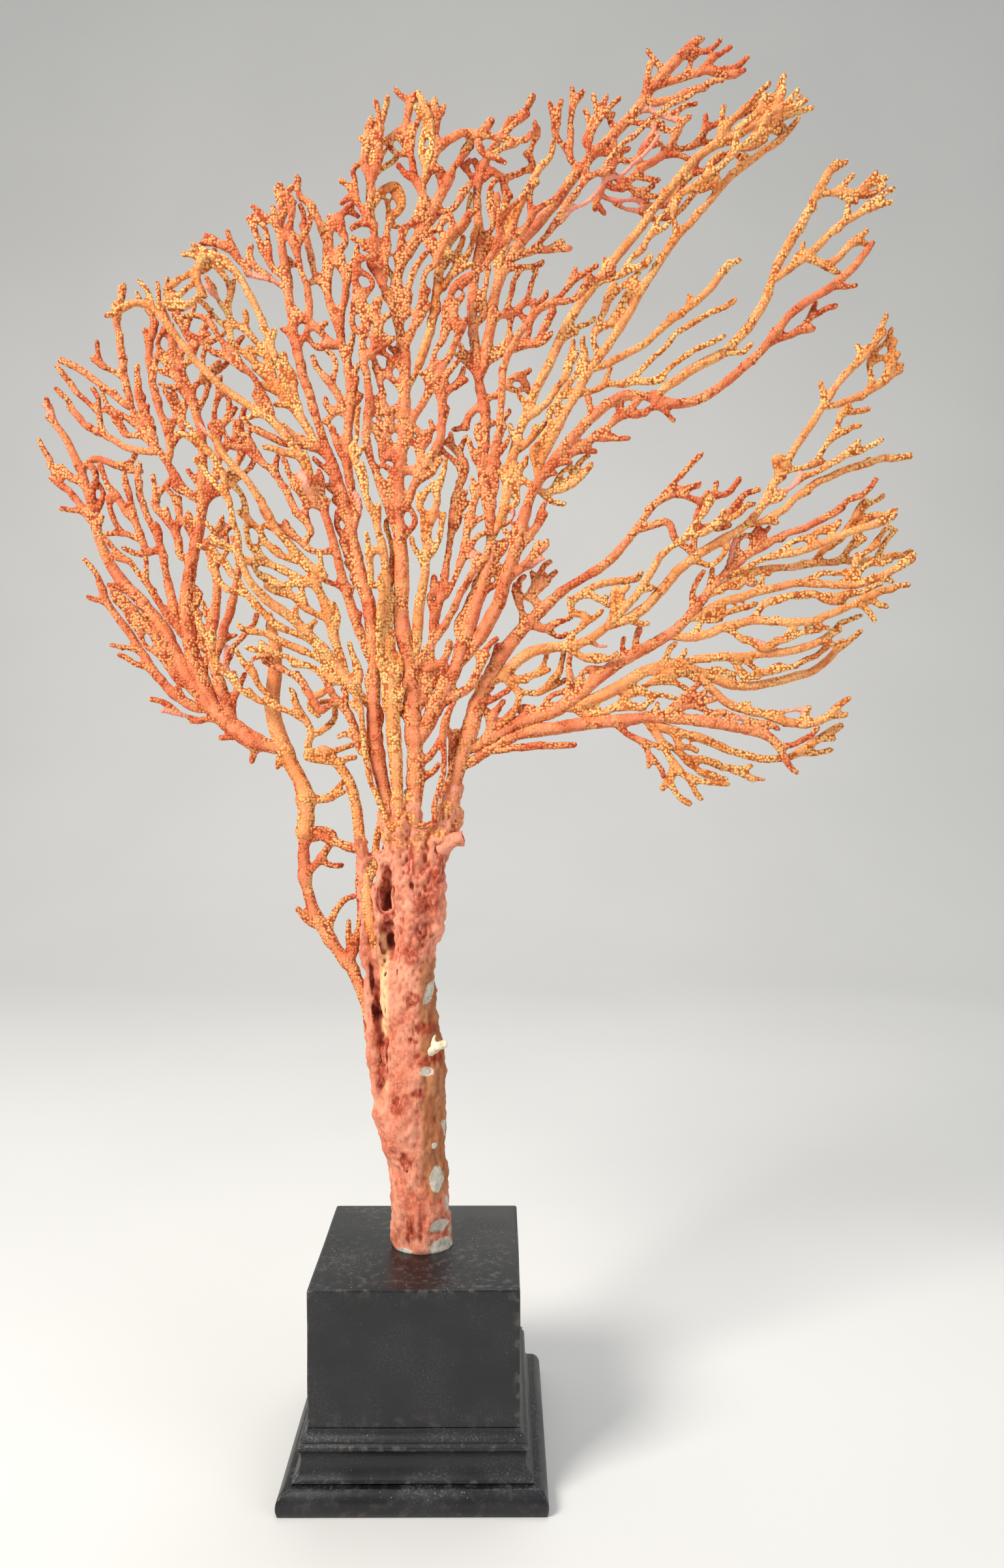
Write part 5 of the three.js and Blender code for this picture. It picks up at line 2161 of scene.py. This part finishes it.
    def bends(self, line: list[tuple[float, float]]) -> list[float]:
        """How sharply the profile turns outward at each of its points, from 0 to 1.

        Args:
            line: half widths and heights, upwards.

        Returns:
            A value for each point.
        """
        out = [0.0]
        for (x0, z0), (x1, z1), (x2, z2) in zip(line, line[1:], line[2:]):
            turn = math.atan2(z2 - z1, x2 - x1) - math.atan2(z1 - z0, x1 - x0)
            out.append(min(1.0, max(0.0, turn * 2.2)))
        return [*out, 0.0]


# ---------------------------------------------------------------- the studio


@dataclass
class Studio:
    """A pale floor that sweeps up behind, soft light, and the camera."""

    floor_half: float = 1.6
    sweep_start: float = 0.9
    sweep_radius: float = 0.7
    wall_height: float = 1.9
    lens: float = 26.0
    tilt: float = math.radians(1.47)
    pan: float = math.radians(-0.22)

    def build(self, material: bpy.types.Material) -> None:
        """Sets the stage, the lights and the camera.

        Args:
            material: the floor's finish.
        """
        self.camera()
        self.backdrop(material)
        self.light("key", (-0.85, -0.75, 1.15), (0.0, 0.0, 0.3), 0.55, 26.0, (1.0, 0.955, 0.9))
        self.light("fill", (1.1, -0.9, 0.6), (0.0, 0.0, 0.3), 1.1, 7.0, (0.93, 0.96, 1.0))
        self.light("top", (0.1, 0.35, 1.5), (0.0, 0.0, 0.3), 0.9, 8.0, (1.0, 1.0, 1.0))
        world = bpy.data.worlds.new("studio")
        world.use_nodes = True
        background = world.node_tree.nodes["Background"]
        background.inputs["Color"].default_value = (0.9, 0.94, 1.0, 1.0)
        background.inputs["Strength"].default_value = 0.42
        bpy.context.scene.world = world
        bpy.context.scene.view_settings.view_transform = "Standard"

    def camera(self) -> None:
        """Stands the camera where the routes are drawn from."""
        data = bpy.data.cameras.new("camera")
        data.sensor_fit = "VERTICAL"
        data.sensor_height = 36.0
        data.lens = self.lens
        data.clip_start = 0.02
        camera = bpy.data.objects.new("camera", data)
        camera.location = [v * MM for v in Sightlines().station]
        camera.rotation_euler = (math.radians(90) - self.tilt, 0.0, self.pan)
        bpy.context.scene.collection.objects.link(camera)
        bpy.context.scene.camera = camera

    def light(
        self,
        name: str,
        place: tuple[float, float, float],
        target: tuple[float, float, float],
        size: float,
        power: float,
        tint: tuple[float, float, float],
    ) -> None:
        """One square soft light that points at a target.

        Args:
            name: the name of the light.
            place: where it stands, in metres.
            target: what it points at.
            size: its width.
            power: its strength in watts.
            tint: its colour.
        """
        data = bpy.data.lights.new(name, "AREA")
        data.size = size
        data.energy = power
        data.color = tint
        lamp = bpy.data.objects.new(name, data)
        lamp.location = place
        lamp.rotation_euler = (Vector(target) - Vector(place)).to_track_quat("-Z", "Y").to_euler()
        bpy.context.scene.collection.objects.link(lamp)

    def backdrop(self, material: bpy.types.Material) -> None:
        """The floor and its sweep, as one sheet.

        Args:
            material: the floor's finish.
        """
        line = [(-self.floor_half, 0.0), (self.sweep_start, 0.0)]
        for k in range(1, 13):
            a = k / 12 * math.pi / 2
            line.append(
                (self.sweep_start + self.sweep_radius * math.sin(a), self.sweep_radius * (1 - math.cos(a)))
            )
        line.append((self.sweep_start + self.sweep_radius, self.wall_height))
        half = self.floor_half * 1.6
        corners = np.array([(x, y, z) for y, z in line for x in (-half, half)]) / MM
        faces = [(2 * k, 2 * k + 1, 2 * k + 3, 2 * k + 2) for k in range(len(line) - 1)]
        obj = new_object("studio_floor", corners, faces)
        obj.data.materials.append(material)


def main() -> None:
    """Builds the sea fan, its plinth and the studio."""
    logging.basicConfig(level=logging.INFO, format="%(name)s: %(message)s", force=True)
    Studio().build(StageFinish("pale_floor", "d9d8d4").material())
    finishes = {
        "red_crust": CrustFinish(
            "red_crust", "b5481f", "f7bd78", "dc7a48", "dc8a68", "8c3216", "f4a898"
        ).material(),
        "golden_crust": CrustFinish(
            "golden_crust", "c0601f", "fbd083", "ea9a52", "de926a", "98421a", "f4a898"
        ).material(),
        "trunk_crust": TrunkFinish(
            "trunk_crust",
            ground="cf7456",
            light="ec9f80",
            fleck="a03a22",
            # The trunk's right side gets a brownish painted shade, streaked with tan.
            brown_shade="96552f",
            tan="bb7e52",
            # pale is a painted highlight on the lit left side of the trunk.
            pale="f8cf98",
            # pit is the painted shade inside the pits.
            pit="6a2212",
            bare="d3ccbc",
        ).material(),
        "bare_axis": ChalkFinish("bare_axis", "ece0c4", "b8a482").material(),
    }
    Plinth().build(PaintFinish("black_paint", "0f1013", "5a5550", "c4c0b6").material())
    fan = Fan()
    fan.read_limbs()
    trunk = Trunk().build(finishes["trunk_crust"], fan.feet)
    LOG.info("%s: %d faces", trunk.name, len(trunk.data.polygons))
    for stub in STUBS:
        stub.build(finishes[stub.slot])
    fan.build(finishes)


if __name__ == "__main__":
    main()
